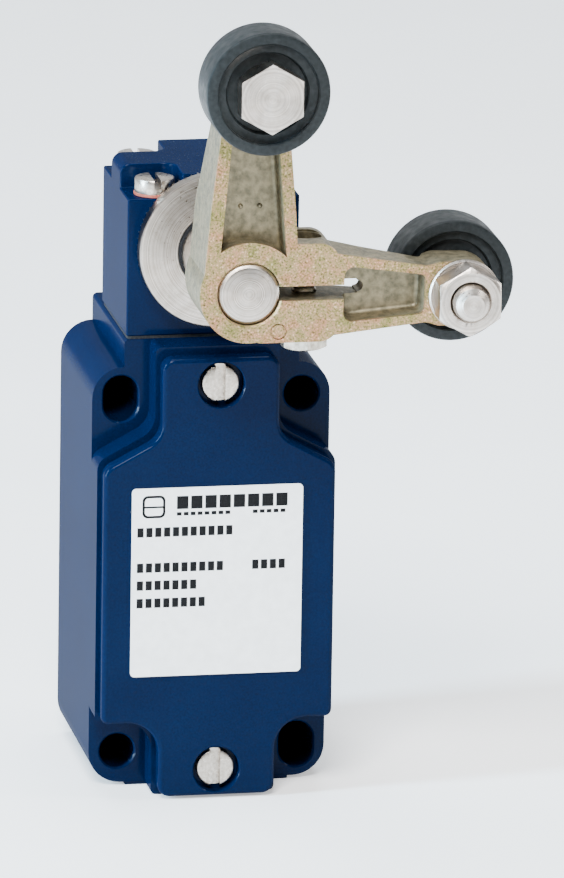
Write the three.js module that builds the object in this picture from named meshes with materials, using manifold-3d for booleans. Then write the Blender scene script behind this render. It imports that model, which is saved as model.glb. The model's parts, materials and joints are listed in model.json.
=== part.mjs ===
// Latching limit switch with a two-roller fork lever.
// Millimetres, +Z up. The front faces -Y and the rear mounting plane is Y = 0.
// The origin is the centre of the 30 x 60 mounting hole pattern on that plane.

import * as THREE from 'three';
import { mergeVertices } from 'three/addons/utils/BufferGeometryUtils.js';
import Module from 'manifold-3d';

const wasm = await Module();
wasm.setup();

// ---------------------------------------------------------------- driving dimensions

const COARSE = 12;
const MEDIUM = 20;
const FINE = 32;
const SPRING_STEPS = 10;
const WIRE_CURVE = 3;
// How far a cutting tool runs past the surface it opens, and how deep two fused solids are set into each other.
const OVERSHOOT = 2;
const OVERLAP = 0.2;
const RUNNING_GAP = 0.05;
const SCREW_GAP = 0.15;
const TAP_DEPTH = 1;
// Slot of a screw head, as shares of its radius and its height.
const SLOT = { half: 0.16, depth: 0.5 };

const HOLES = { x: 15, z: 30, radius: 2.9, slotHalf: 3.9, slotCorner: 2.89 };

const CASE = {
  halfWidth: 19.75,
  halfHeight: 35.4,
  cornerRadius: 5.3,
  earPlane: -31.5,
  rim: -37.2,
  floor: -3,
  collarHalf: 14.5,
  collarTop: 40,
  bossHalf: 13.7,
  base: -36,
};

// Outline of the raised front, the cover and the hollow behind it: a bottle with two shoulders.
const RAISED = {
  neck: 10.3, body: 19.75, top: 40, shoulderTop: 26.1, shoulderLow: 21,
  skirt: -23.2, bottom: -36, fillet: 5, corner: 0.6,
};
const COVER = {
  neck: 9.7, body: 19.2, top: 38.9, shoulderTop: 25.6, shoulderLow: 20.5,
  skirt: -22.7, bottom: -35.5, fillet: 5.2, corner: 2,
};
const GASKET = {
  neck: 9.1, body: 18.6, top: 38.3, shoulderTop: 25.1, shoulderLow: 20,
  skirt: -22.1, bottom: -34.9, fillet: 5.2, corner: 2,
};
const HOLLOW = {
  neck: 7.4, body: 16.9, top: 29.5, shoulderTop: 23, shoulderLow: 18.4,
  skirt: -20.4, bottom: -24, fillet: 3, corner: 1,
};

const COVER_BACK = -37.7;
const COVER_FRONT = -40.9;
const COVER_EDGE = 0.7;
const COVER_CURVE = 4;
const COVER_SCREW = {
  places: { upper: 34.3, lower: -31 },
  headRadius: 3.1, seatRadius: 3.85, headFront: -40, headBack: -38.5,
  shankRadius: 1.95, end: -29,
};
const LABEL = { left: -14.6, right: 13.7, low: -14.6, high: 17.3, corner: 0.6, thickness: 0.3 };

const CONDUIT = { radius: 9.3, y: -15.5 };

const HEAD = {
  halfWidth: 14.2, front: -31.5, back: -7.5, bottom: 40.5, side: 66.1, top: 67.6, chamfer: 1.6,
  gasketInset: 0.2,
};
const HEAD_SCREW = {
  x: 9.2, yFront: -28, yBack: -11, headRadius: 3.3, headTop: 66.4, headLow: 64,
  notchInner: 5.2, notchDepth: 7.8, notchCorner: 2.4, seat: 63.5, washerRadius: 3.45, shankRadius: 1.95, end: 32.5,
  slotHalf: 0.6, slotDepth: 1.1,
};
const CHAMBER = { radius: 9.6, front: -25.2, back: -13.8 };

const AXIS_Z = 55.3;
const SHAFT = { radius: 4.98, rear: 21.5, front: 32.5, bore: 5.03, edge: 0.5 };
const FLANGE = { radius: 12.75, back: 0.8, front: 4, spigot: 6.25, spigotBack: -6.1, edge: 0.4 };
const SEAL = { radius: 6.8, back: 2.4, front: 3.8 };
const TEETH = { count: 36, low: 12.1, high: 12.7 };
const REAR_BUSH = { radius: 6, front: -18.1, back: -22 };
const SLEEVE = { radius: 6, back: 4.2, front: 18.5 };
// The cam's rise is in millimetres for each radian, over sweep + dwell degrees; then it falls away steeply.
const CAM = {
  back: -16.4, front: -7.3, baseRadius: 6.7, rise: 1.54, sweep: 93, dwell: 2, fall: 8, steps: 48,
  flat: 6.1, flatHalf: 5, reach: 20,
};
const CIRCLIP = { groove: 4.5, radius: 6.6, back: -7, front: -6.4, gapHalf: 1.5 };
const LATCH = { half: 6.4, front: -23.5, back: -15.5, low: 61.5, thickness: 0.5 };

const HUB = { radius: 8, back: 18.8, front: 32.7, fillet: 0.5 };
// The arms' long sides are drawn as (distance along the arm, distance in front of the ear plane).
const ARM = { length: 35, beyond: 45, pocketDepth: 4, sides: 10, tipSweep: Math.PI / 2.6, tipJoin: 0.4 };
const UPPER_ARM = {
  angle: 88.5, rootHalf: 7.4, tipHalf: 5.4, tipRadius: 5.8, bossBack: 24,
  side: [[0, HUB.front], [ARM.beyond, HUB.front], [ARM.beyond, 24], [29, 24], [12, HUB.back], [0, HUB.back]],
  pocket: { rootHalf: 4.9, tipHalf: 3.5, start: 6, end: 28 },
};
const RIGHT_ARM = {
  angle: -1.5, rootHalf: 7.8, tipHalf: 4.4, tipRadius: 5.7, bossBack: 24.5,
  side: [
    [0, HUB.front], [ARM.beyond, HUB.front], [ARM.beyond, 24.5], [29.3, 24.5], [29, 26.8], [14, 23.2], [0, 23.2],
  ],
  pocket: { rootHalf: 4.6, tipHalf: 3.1, start: 15, end: 28.7 },
};
const CLAMP = {
  start: -1, length: 14.7, half: 8.06, corner: 3, back: 21.2, slotHalf: 1.2, slotEnd: 18.3, slotHole: 0.95,
  screwX: 10.2, screwT: 25.7, shank: 2, headFlats: 7, headHeight: 2.5,
  counterbore: 2.7, counterboreDepth: 3, proud: 1,
};
const ROLLER = {
  radius: 10, width: 8.5, stepRadius: 8.1, stepDepth: 1.1, pocketRadius: 6.6, pocketDepth: 2.2,
  edge: 0.4, bore: 4.65,
};
const FRONT_ROLLER_BACK = 33.7;
const REAR_ROLLER_BACK = 15.7;
const BOLT = {
  radius: 3, hole: 3.05, bush: 4.6, flats: 10, head: 4, nut: 5, seat: 0.6, washer: 5.8, washerThickness: 0.8,
  frontTail: 17, rearTail: 40.8,
};

const PLUNGER = {
  y: -19.5, radius: 2.95, low: 17, dome: 1.2, guide: 4.95, guideLow: 30, guideHigh: 39.7,
};
const TRAVEL_GAP = 0.2;

const BLOCK = {
  half: 10.5, front: -22, low: -16, high: 16,
  lugHalf: 16.3, lugFront: -8, lugLow: -1, lugHigh: 5.6, screwZ: 2.3, screwEnd: -1.8,
  channel: { half: 4.2, back: -10.8, low: -14 },
  window: { half: 9, back: -14.5, low: -4.6, high: 8 },
};
const TERMINAL = {
  x: 7.8, upper: 12, lower: -10.5, thickness: 0.8, half: 2.5, top: 15, foot: -14, screwEnd: -17,
  tongue: { left: -1.2, right: 1, back: -17.9, upper: 7.2, lower: -4.6 },
};
const CARRIER = { half: 3.8, front: -17.5, back: -11.2, low: -8, high: 17, noseFront: -22.5, noseLow: 12 };
const BRIDGE = {
  half: 8.7, front: -20.5, back: -17.6, thickness: 0.6, closedLow: 6, openLow: -0.6,
  tipX: 7.6, tipY: -19, tipRadius: 0.9, tipHeight: 0.5, tipSet: 0.1,
};
const SMALL_SCREW = { shank: 1.5, head: 2.6, height: 2, gap: 0.1 };
const EARTH = {
  x: -13.4, z: -14.5, post: 2.9, seat: -7, clampHalf: 2.8, clampTall: 3, clampThickness: 0.8, end: -2,
};
const RETURN_SPRING = { y: -14.4, radius: 2.6, wire: 0.35, low: -14, high: -8, turns: 4 };

// ---------------------------------------------------------------- materials

function material(color, metalness, roughness) {
  return new THREE.MeshStandardMaterial({ color, metalness, roughness });
}

const MATERIALS = {
  enamel: material(0x123f6b, 0.3, 0.45),
  zinc: material(0xb3a582, 0.8, 0.5),
  steel: material(0xb9b6ae, 0.9, 0.35),
  brass: material(0xc2a35a, 0.9, 0.35),
  rubber: material(0x1d1f20, 0, 0.8),
  roller: material(0x3a3f43, 0, 0.5),
  fibre: material(0x8a4a35, 0, 0.8),
  label: material(0xe9e9e6, 0, 0.6),
  insulator: material(0x2b2b2b, 0, 0.6),
  copper: material(0xb87347, 0.9, 0.4),
};

// ---------------------------------------------------------------- solids

function toSolid(geometry) {
  geometry.deleteAttribute('normal');
  geometry.deleteAttribute('uv');
  const welded = mergeVertices(geometry);
  const corners = welded.index.array;
  const triangles = [];
  for (let i = 0; i < corners.length; i += 3) {
    const [a, b, c] = corners.slice(i, i + 3);
    if (a !== b && b !== c && c !== a) triangles.push(a, b, c);
  }
  return new wasm.Manifold(new wasm.Mesh({
    numProp: 3,
    vertProperties: new Float32Array(welded.attributes.position.array),
    triVerts: new Uint32Array(triangles),
  }));
}

function toGeometry(solid) {
  const { vertProperties, triVerts } = solid.getMesh();
  const geometry = new THREE.BufferGeometry();
  geometry.setAttribute('position', new THREE.BufferAttribute(vertProperties, 3));
  geometry.setIndex(new THREE.BufferAttribute(triVerts, 1));
  geometry.computeVertexNormals();
  return geometry;
}

function join(first, ...others) {
  return others.reduce((whole, solid) => whole.add(solid), first);
}

function cut(first, ...tools) {
  return tools.reduce((rest, tool) => rest.subtract(tool), first);
}

function box(x0, x1, y0, y1, z0, z1) {
  const geometry = new THREE.BoxGeometry(x1 - x0, y1 - y0, z1 - z0);
  geometry.translate((x0 + x1) / 2, (y0 + y1) / 2, (z0 + z1) / 2);
  return toSolid(geometry);
}

// An outline drawn in X and Z, carried from Y = back forwards to Y = front.
function slab(outline, back, front, segments = 4) {
  const options = { depth: back - front, bevelEnabled: false, curveSegments: segments };
  const geometry = new THREE.ExtrudeGeometry(outline, options);
  geometry.rotateX(Math.PI / 2);
  geometry.translate(0, back, 0);
  return toSolid(geometry);
}

function rodY(radius, back, front, x = 0, z = 0, sides = MEDIUM) {
  const geometry = new THREE.CylinderGeometry(radius, radius, back - front, sides);
  geometry.translate(x, (back + front) / 2, z);
  return toSolid(geometry);
}

function rodZ(radius, low, high, x = 0, y = 0, sides = MEDIUM) {
  const geometry = new THREE.CylinderGeometry(radius, radius, high - low, sides);
  geometry.rotateX(Math.PI / 2);
  geometry.translate(x, y, (low + high) / 2);
  return toSolid(geometry);
}

// A body turned about Y through (x, z). Each profile point is [radius, y], from low y to high y.
function turned(profile, x = 0, z = 0, sides = FINE) {
  const points = profile.map(([radius, y]) => new THREE.Vector2(radius, y));
  const geometry = new THREE.LatheGeometry(points, sides);
  geometry.translate(x, 0, z);
  return toSolid(geometry);
}

function ringY(inner, outer, back, front, x = 0, z = 0, sides = FINE) {
  const hole = rodY(inner, back + OVERSHOOT, front - OVERSHOOT, x, z, sides);
  return rodY(outer, back, front, x, z, sides).subtract(hole);
}

function hexPrismY(flats, back, front, x, z) {
  const corner = flats / Math.sqrt(3);
  const geometry = new THREE.CylinderGeometry(corner, corner, back - front, 6);
  geometry.translate(x, (back + front) / 2, z);
  return toSolid(geometry);
}

function polygon(points) {
  return new THREE.Shape(points.map(([x, y]) => new THREE.Vector2(x, y)));
}

function roundedRect(x0, x1, z0, z1, r) {
  const shape = new THREE.Shape();
  shape.absarc(x1 - r, z0 + r, r, -Math.PI / 2, 0);
  shape.absarc(x1 - r, z1 - r, r, 0, Math.PI / 2);
  shape.absarc(x0 + r, z1 - r, r, Math.PI / 2, Math.PI);
  shape.absarc(x0 + r, z0 + r, r, Math.PI, Math.PI * 1.5);
  shape.closePath();
  return shape;
}

// The bottle outline, drawn counter-clockwise from its foot.
function bottle(size) {
  const { neck, body, top, shoulderTop, shoulderLow, skirt, bottom, fillet, corner } = size;
  const shape = new THREE.Shape();
  const quarter = Math.PI / 2;
  shape.absarc(neck - corner, bottom + corner, corner, -quarter, 0);
  shape.absarc(neck + fillet, skirt - fillet, fillet, Math.PI, quarter, true);
  shape.lineTo(body, skirt);
  shape.lineTo(body, shoulderLow);
  shape.lineTo(neck, shoulderTop);
  shape.absarc(neck - corner, top - corner, corner, 0, quarter);
  shape.absarc(corner - neck, top - corner, corner, quarter, 2 * quarter);
  shape.lineTo(-neck, shoulderTop);
  shape.lineTo(-body, shoulderLow);
  shape.lineTo(-body, skirt);
  shape.absarc(-neck - fillet, skirt - fillet, fillet, quarter, 0, true);
  shape.absarc(corner - neck, bottom + corner, corner, Math.PI, 3 * quarter);
  shape.closePath();
  return shape;
}

// ---------------------------------------------------------------- case and cover

function mountingHoles() {
  const { x, z, radius, slotHalf, slotCorner } = HOLES;
  const [back, front] = [OVERSHOOT, CASE.rim];
  const slot = (cx, cz) => slab(
    roundedRect(cx - radius, cx + radius, cz - slotHalf, cz + slotHalf, slotCorner), back, front,
  );
  return [
    rodY(radius, back, front, x, z),
    rodY(radius, back, front, -x, -z),
    slot(-x, z),
    slot(x, -z),
  ];
}

function headScrewPlaces() {
  const { x, yFront, yBack } = HEAD_SCREW;
  return [[-x, yFront], [x, yFront], [-x, yBack], [x, yBack]];
}

function blockScrewPlaces() {
  const x = (BLOCK.half + BLOCK.lugHalf) / 2;
  return [[-x, BLOCK.screwZ], [x, BLOCK.screwZ]];
}

function housing() {
  const { halfWidth, halfHeight, cornerRadius, earPlane, rim, floor, collarHalf, collarTop } = CASE;
  const body = roundedRect(-halfWidth, halfWidth, -halfHeight, halfHeight, cornerRadius);
  const shell = join(
    slab(body, 0, earPlane),
    box(-collarHalf, collarHalf, earPlane, 0, 0, collarTop),
    box(-CASE.bossHalf, CASE.bossHalf, earPlane, 0, CASE.base, 0),
    slab(bottle(RAISED), earPlane + OVERSHOOT, rim),
  );
  const hollowed = cut(
    shell,
    slab(bottle(HOLLOW), floor, rim - OVERSHOOT),
    rodZ(CONDUIT.radius, CASE.base - OVERSHOOT, HOLLOW.skirt + OVERSHOOT, 0, CONDUIT.y, FINE),
    rodZ(PLUNGER.guide + RUNNING_GAP, HOLLOW.top - OVERSHOOT, collarTop + OVERSHOOT, 0, PLUNGER.y),
  );
  const post = rodY(EARTH.post, floor + OVERLAP, EARTH.seat, EARTH.x, EARTH.z, COARSE);
  const threads = [
    ...Object.values(COVER_SCREW.places).map((z) => (
      rodY(COVER_SCREW.shankRadius + RUNNING_GAP, COVER_SCREW.end + TAP_DEPTH, rim - OVERSHOOT, 0, z, COARSE)
    )),
    ...headScrewPlaces().map(([x, y]) => (
      rodZ(HEAD_SCREW.shankRadius + RUNNING_GAP, HEAD_SCREW.end - TAP_DEPTH, collarTop + OVERSHOOT, x, y, COARSE)
    )),
    ...blockScrewPlaces().map(([x, z]) => (
      rodY(SMALL_SCREW.shank + RUNNING_GAP, BLOCK.screwEnd + TAP_DEPTH, floor - OVERSHOOT, x, z, COARSE)
    )),
    rodY(SMALL_SCREW.shank + RUNNING_GAP, EARTH.end + TAP_DEPTH, EARTH.seat - OVERSHOOT, EARTH.x, EARTH.z, COARSE),
  ];
  return cut(join(hollowed, post), ...mountingHoles(), ...threads);
}

function cover() {
  const thickness = COVER_BACK - COVER_FRONT;
  const outline = bottle(COVER);
  const geometry = new THREE.ExtrudeGeometry(outline, {
    depth: thickness, bevelThickness: COVER_EDGE, bevelSize: COVER_EDGE, bevelOffset: -COVER_EDGE,
    bevelSegments: 1, curveSegments: COVER_CURVE,
  });
  geometry.rotateX(Math.PI / 2);
  geometry.translate(0, COVER_FRONT + COVER_EDGE + thickness, 0);
  const backTrim = box(-HOLES.z, HOLES.z, COVER_BACK, 0, -2 * HOLES.z, 2 * HOLES.z);
  const holes = Object.values(COVER_SCREW.places).flatMap((z) => [
    rodY(COVER_SCREW.shankRadius + SCREW_GAP, 0, COVER_FRONT - OVERSHOOT, 0, z),
    rodY(COVER_SCREW.seatRadius, COVER_SCREW.headBack, COVER_FRONT - OVERSHOOT, 0, z, FINE),
  ]);
  return cut(toSolid(geometry), backTrim, ...holes);
}

function coverGasket() {
  const band = slab(bottle(GASKET), CASE.rim, COVER_BACK);
  const inside = slab(bottle(HOLLOW), 0, COVER_BACK - OVERSHOOT);
  const holes = Object.values(COVER_SCREW.places).map((z) => (
    rodY(COVER_SCREW.shankRadius + SCREW_GAP, 0, COVER_BACK - OVERSHOOT, 0, z)
  ));
  return cut(band, inside, ...holes);
}

// A slotted machine screw pointing back along Y, with its slot upright.
function slottedScrew({ x, z, head, shank, headBack, headFront, end }) {
  const slotHalf = head * SLOT.half;
  const slotBack = headFront + (headBack - headFront) * SLOT.depth;
  const slot = box(x - slotHalf, x + slotHalf, headFront - OVERSHOOT, slotBack, z - 2 * head, z + 2 * head);
  const body = join(rodY(head, headBack, headFront, x, z), rodY(shank, end, headBack - OVERLAP, x, z, COARSE));
  return cut(body, slot);
}

function coverScrew(z) {
  const { headRadius, shankRadius, headBack, headFront, end } = COVER_SCREW;
  return slottedScrew({ x: 0, z, head: headRadius, shank: shankRadius, headBack, headFront, end });
}

function labelPlate() {
  const { left, right, low, high, corner, thickness } = LABEL;
  return slab(roundedRect(left, right, low, high, corner), COVER_FRONT, COVER_FRONT - thickness);
}

// ---------------------------------------------------------------- operating head

function headOutline() {
  const { halfWidth, bottom, side, top, chamfer } = HEAD;
  const right = [[halfWidth, bottom], [halfWidth, side], [halfWidth - chamfer, top]];
  const left = right.map(([x, z]) => [-x, z]).reverse();
  return polygon([...right, ...left]);
}

// The head's corner is cut away round a screw, open to the side and to the front or the back.
function screwNotch([x, y]) {
  const { notchInner, notchDepth, notchCorner, seat } = HEAD_SCREW;
  const side = Math.sign(x);
  const [face, inward] = y < (HEAD.front + HEAD.back) / 2 ? [HEAD.front, 1] : [HEAD.back, -1];
  const wall = face + inward * notchDepth;
  const bend = wall - inward * notchCorner;
  const open = face - inward * OVERSHOOT;
  const edge = side * (HEAD.halfWidth + OVERSHOOT);
  const cornerX = side * (notchInner + notchCorner);
  const top = HEAD.top + OVERSHOOT;
  const block = (x0, x1, y0, y1) => (
    box(Math.min(x0, x1), Math.max(x0, x1), Math.min(y0, y1), Math.max(y0, y1), seat, top)
  );
  return join(
    block(side * notchInner, edge, open, bend),
    block(cornerX, edge, open, wall),
    rodZ(notchCorner, seat, top, cornerX, bend),
  );
}

function camChamber() {
  const { radius, front, back } = CHAMBER;
  return join(
    rodY(radius, back, front, 0, AXIS_Z, FINE),
    box(-radius, radius, front, back, HEAD.bottom - OVERSHOOT, AXIS_Z),
  );
}

function headHousing() {
  const { front, back } = HEAD;
  const { seat, shankRadius } = HEAD_SCREW;
  const rearBore = front - REAR_BUSH.back + OVERLAP;
  const screwHoles = headScrewPlaces().map(([x, y]) => (
    rodZ(shankRadius + SCREW_GAP, HEAD.bottom - OVERSHOOT, seat + OVERSHOOT, x, y, COARSE)
  ));
  return cut(
    slab(headOutline(), back, front),
    camChamber(),
    rodY(FLANGE.spigot + RUNNING_GAP, CHAMBER.front + OVERSHOOT, front - OVERSHOOT, 0, AXIS_Z, FINE),
    rodY(REAR_BUSH.radius + RUNNING_GAP, rearBore, CHAMBER.back - OVERSHOOT, 0, AXIS_Z, FINE),
    ...headScrewPlaces().map(screwNotch),
    ...screwHoles,
  );
}

function headGasket() {
  const half = HEAD.halfWidth - HEAD.gasketInset;
  const [back, front] = [HEAD.back - HEAD.gasketInset, HEAD.front + HEAD.gasketInset];
  const sheet = box(-half, half, front, back, CASE.collarTop, HEAD.bottom);
  const [low, high] = [CASE.collarTop - OVERSHOOT, HEAD.bottom + OVERSHOOT];
  const holes = headScrewPlaces().map(([x, y]) => (
    rodZ(HEAD_SCREW.shankRadius + SCREW_GAP, low, high, x, y, COARSE)
  ));
  return cut(sheet, rodZ(PLUNGER.guide, low, high, 0, PLUNGER.y), ...holes);
}

function headScrew([x, y]) {
  const { headRadius, headLow, headTop, shankRadius, end, slotHalf, slotDepth } = HEAD_SCREW;
  const slot = box(x - slotHalf, x + slotHalf, y - 2 * headRadius, y + 2 * headRadius,
    headTop - slotDepth, headTop + OVERSHOOT);
  const body = join(
    rodZ(headRadius, headLow, headTop, x, y),
    rodZ(shankRadius, end, headLow + OVERLAP, x, y, COARSE),
  );
  return cut(body, slot);
}

function headWasher([x, y]) {
  const { washerRadius, shankRadius, seat, headLow } = HEAD_SCREW;
  const hole = rodZ(shankRadius + SCREW_GAP, seat - OVERSHOOT, headLow + OVERSHOOT, x, y, COARSE);
  return rodZ(washerRadius, seat, headLow, x, y).subtract(hole);
}

// ---------------------------------------------------------------- shaft line
// These pieces are drawn about the shaft axis, with y = -(distance in front of the ear plane).

function bearingFlange() {
  const { radius, back, front, spigot, spigotBack, edge } = FLANGE;
  return turned([
    [SHAFT.bore, -SEAL.back],
    [SEAL.radius, -SEAL.back],
    [SEAL.radius, -front],
    [radius - edge, -front],
    [radius, -front + edge],
    [radius, -back],
    [spigot, -back],
    [spigot, -spigotBack],
    [SHAFT.bore, -spigotBack],
    [SHAFT.bore, -SEAL.back],
  ]);
}

function serratedRing() {
  const outline = new THREE.Shape();
  for (let i = 0; i < TEETH.count; i += 1) {
    const step = (2 * Math.PI) / TEETH.count;
    outline[i ? 'lineTo' : 'moveTo'](TEETH.high * Math.cos(i * step), TEETH.high * Math.sin(i * step));
    outline.lineTo(TEETH.low * Math.cos((i + 0.5) * step), TEETH.low * Math.sin((i + 0.5) * step));
  }
  outline.closePath();
  const bore = rodY(FLANGE.spigot + RUNNING_GAP, OVERSHOOT, -OVERSHOOT, 0, 0, FINE);
  return slab(outline, 0, -FLANGE.back).subtract(bore);
}

function shaft() {
  const { radius, rear, front, edge } = SHAFT;
  return turned([
    [0, -front],
    [radius - edge, -front],
    [radius, -front + edge],
    [radius, -CIRCLIP.front],
    [CIRCLIP.groove, -CIRCLIP.front],
    [CIRCLIP.groove, -CIRCLIP.back],
    [radius, -CIRCLIP.back],
    [radius, rear],
    [0, rear],
  ]);
}

function circlip() {
  const { groove, radius, back, front, gapHalf } = CIRCLIP;
  const ring = ringY(groove + RUNNING_GAP, radius, -back - RUNNING_GAP, -front + RUNNING_GAP);
  return ring.subtract(box(-gapHalf, gapHalf, 0, -back + OVERSHOOT, -radius - OVERSHOOT, 0));
}

// The cam rises steadily round a quarter turn and has two flats for the latch spring.
function driveCam() {
  const { back, front, baseRadius, rise, sweep, dwell, fall, steps, flat, flatHalf, reach } = CAM;
  const outline = new THREE.Shape();
  const top = THREE.MathUtils.degToRad(sweep + dwell);
  for (let i = 0; i < steps; i += 1) {
    const turn = (2 * Math.PI * i) / steps;
    const lift = Math.min(turn, top) - Math.max(0, (turn - top) * fall);
    const radius = baseRadius + rise * Math.max(0, lift);
    const angle = -Math.PI / 2 - turn;
    outline[i ? 'lineTo' : 'moveTo'](radius * Math.cos(angle), radius * Math.sin(angle));
  }
  outline.closePath();
  const disc = slab(outline, -back, -front);
  const [near, far] = [-front - OVERSHOOT, -back + OVERSHOOT];
  const bore = rodY(SHAFT.bore, far, near, 0, 0, FINE);
  const topFlat = box(-flatHalf, flatHalf, near, far, flat, reach);
  const sideFlat = box(flat, reach, near, far, -flatHalf, flatHalf);
  return cut(disc, bore, topFlat, sideFlat);
}

// ---------------------------------------------------------------- fork lever

function turnAbout(geometry, degrees) {
  geometry.rotateY(-THREE.MathUtils.degToRad(degrees));
  return geometry;
}

function taperedPlan({ rootHalf, tipHalf, tipRadius }) {
  const { length, tipSweep, tipJoin } = ARM;
  const shape = new THREE.Shape();
  shape.moveTo(0, -rootHalf);
  shape.lineTo(length - tipRadius * tipJoin, -tipHalf);
  shape.absarc(length, 0, tipRadius, -tipSweep, tipSweep);
  shape.lineTo(length - tipRadius * tipJoin, tipHalf);
  shape.lineTo(0, rootHalf);
  shape.closePath();
  return shape;
}

// An arm is its plan outline crossed with the outline of its long side.
function arm(size) {
  const wide = ARM.length;
  const flat = new THREE.ExtrudeGeometry(taperedPlan(size), {
    depth: 2 * wide, bevelEnabled: false, curveSegments: ARM.sides,
  });
  flat.rotateX(Math.PI / 2);
  const side = polygon(size.side.map(([distance, t]) => [distance, -t]));
  const tall = new THREE.ExtrudeGeometry(side, { depth: wide, bevelEnabled: false });
  tall.translate(0, 0, -wide / 2);
  return toSolid(turnAbout(flat, size.angle)).intersect(toSolid(turnAbout(tall, size.angle)));
}

function armPocket({ angle, pocket }) {
  const { rootHalf, tipHalf, start, end } = pocket;
  const plan = polygon([[start, -rootHalf], [end, -tipHalf], [end, tipHalf], [start, rootHalf]]);
  const depth = ARM.pocketDepth;
  const geometry = new THREE.ExtrudeGeometry(plan, { depth: depth + OVERSHOOT, bevelEnabled: false });
  geometry.rotateX(Math.PI / 2);
  geometry.translate(0, depth - HUB.front, 0);
  return toSolid(turnAbout(geometry, angle));
}

function armEnd({ angle }) {
  const turn = THREE.MathUtils.degToRad(angle);
  return [ARM.length * Math.cos(turn), ARM.length * Math.sin(turn)];
}

function clampEars() {
  const { start, length, half, corner, back } = CLAMP;
  return slab(roundedRect(start, length, -half, half, corner), -back, -HUB.front);
}

function clampSlot() {
  const { slotHalf, slotEnd, slotHole } = CLAMP;
  const front = -HUB.front - OVERSHOOT;
  return join(box(0, slotEnd, front, 0, -slotHalf, slotHalf), rodY(slotHole, 0, front, slotEnd, 0, COARSE));
}

function forkLever() {
  const { half, shank, counterbore, counterboreDepth, screwX, screwT } = CLAMP;
  const front = -HUB.front - OVERSHOOT;
  const top = half + OVERSHOOT;
  const body = join(
    rodY(HUB.radius, -HUB.back, -HUB.front, 0, 0, FINE),
    arm(UPPER_ARM),
    arm(RIGHT_ARM),
    clampEars(),
  );
  const hubWall = rodY(HUB.radius + HUB.fillet, 0, front, 0, 0, FINE);
  const boltHoles = [UPPER_ARM, RIGHT_ARM].map((size) => rodY(BOLT.hole, 0, front, ...armEnd(size)));
  return cut(
    body,
    armPocket(UPPER_ARM).subtract(hubWall),
    armPocket(RIGHT_ARM),
    rodY(SHAFT.bore, 0, front, 0, 0, FINE),
    clampSlot(),
    rodZ(shank + RUNNING_GAP, -top, top, screwX, -screwT, COARSE),
    rodZ(counterbore, half - counterboreDepth, top, screwX, -screwT),
    ...boltHoles,
  );
}

function clampScrew() {
  const { screwX, screwT, shank, headFlats, headHeight, half, counterboreDepth, proud } = CLAMP;
  const head = new THREE.CylinderGeometry(headFlats / Math.sqrt(3), headFlats / Math.sqrt(3), headHeight, 6);
  head.rotateX(Math.PI / 2);
  head.translate(screwX, -screwT, -half - headHeight / 2);
  const stem = rodZ(shank, -half - OVERLAP, half - counterboreDepth + proud, screwX, -screwT, COARSE);
  return join(toSolid(head), stem);
}

// ---------------------------------------------------------------- rollers and their bolts

function roller(back, [x, z]) {
  const { radius, width, stepRadius, stepDepth, pocketRadius, pocketDepth, edge, bore } = ROLLER;
  const [low, high] = [-back - width, -back];
  return turned([
    [bore, low + pocketDepth],
    [pocketRadius, low + pocketDepth],
    [pocketRadius, low + stepDepth],
    [stepRadius, low + stepDepth],
    [stepRadius, low],
    [radius - edge, low],
    [radius, low + edge],
    [radius, high - edge],
    [radius - edge, high],
    [stepRadius, high],
    [stepRadius, high - stepDepth],
    [pocketRadius, high - stepDepth],
    [pocketRadius, high - pocketDepth],
    [bore, high - pocketDepth],
    [bore, low + pocketDepth],
  ], x, z);
}

// A hexagon bolt; its three values are distances in front of the ear plane.
function hexBolt(headBack, headFront, end, [x, z]) {
  const inner = end > headFront ? headFront - OVERLAP : headBack + OVERLAP;
  const [back, front] = [Math.min(inner, end), Math.max(inner, end)];
  return join(hexPrismY(BOLT.flats, -headBack, -headFront, x, z), rodY(BOLT.radius, -back, -front, x, z));
}

function hexNut(back, [x, z]) {
  const front = back + BOLT.nut;
  return hexPrismY(BOLT.flats, -back, -front, x, z)
    .subtract(rodY(BOLT.hole, -back + OVERSHOOT, -front - OVERSHOOT, x, z));
}

// ---------------------------------------------------------------- plunger and contacts

function plunger() {
  const { radius, low, dome, y } = PLUNGER;
  const top = AXIS_Z - CAM.baseRadius - TRAVEL_GAP;
  const points = [
    [0, low],
    [radius, low],
    [radius, top - dome],
    [radius - dome / 2, top - dome / 3],
    [radius - dome, top],
    [0, top],
  ];
  const geometry = new THREE.LatheGeometry(points.map(([r, z]) => new THREE.Vector2(r, z)), MEDIUM);
  geometry.rotateX(Math.PI / 2);
  geometry.translate(0, y, 0);
  return toSolid(geometry);
}

function plungerGuide() {
  const { radius, guide, guideLow, guideHigh, y } = PLUNGER;
  const bore = rodZ(radius + RUNNING_GAP, guideLow - OVERSHOOT, guideHigh + OVERSHOOT, 0, y);
  return rodZ(guide, guideLow, guideHigh, 0, y).subtract(bore);
}

function returnSpring() {
  const { y, radius, wire, low, high, turns } = RETURN_SPRING;
  const points = [];
  const steps = turns * SPRING_STEPS;
  const rise = high - low - 2 * (wire + RUNNING_GAP);
  for (let i = 0; i <= steps; i += 1) {
    const angle = (2 * Math.PI * turns * i) / steps;
    const z = low + wire + RUNNING_GAP + (rise * i) / steps;
    points.push(new THREE.Vector3(radius * Math.cos(angle), y + radius * Math.sin(angle), z));
  }
  const section = new THREE.Shape();
  section.absarc(0, 0, wire, 0, 2 * Math.PI);
  const path = new THREE.CatmullRomCurve3(points);
  return toSolid(new THREE.ExtrudeGeometry(section, { steps, extrudePath: path, curveSegments: WIRE_CURVE }));
}

function terminalPlaces() {
  const { x, upper, lower } = TERMINAL;
  return [[-x, upper], [x, upper], [-x, lower], [x, lower]];
}

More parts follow.
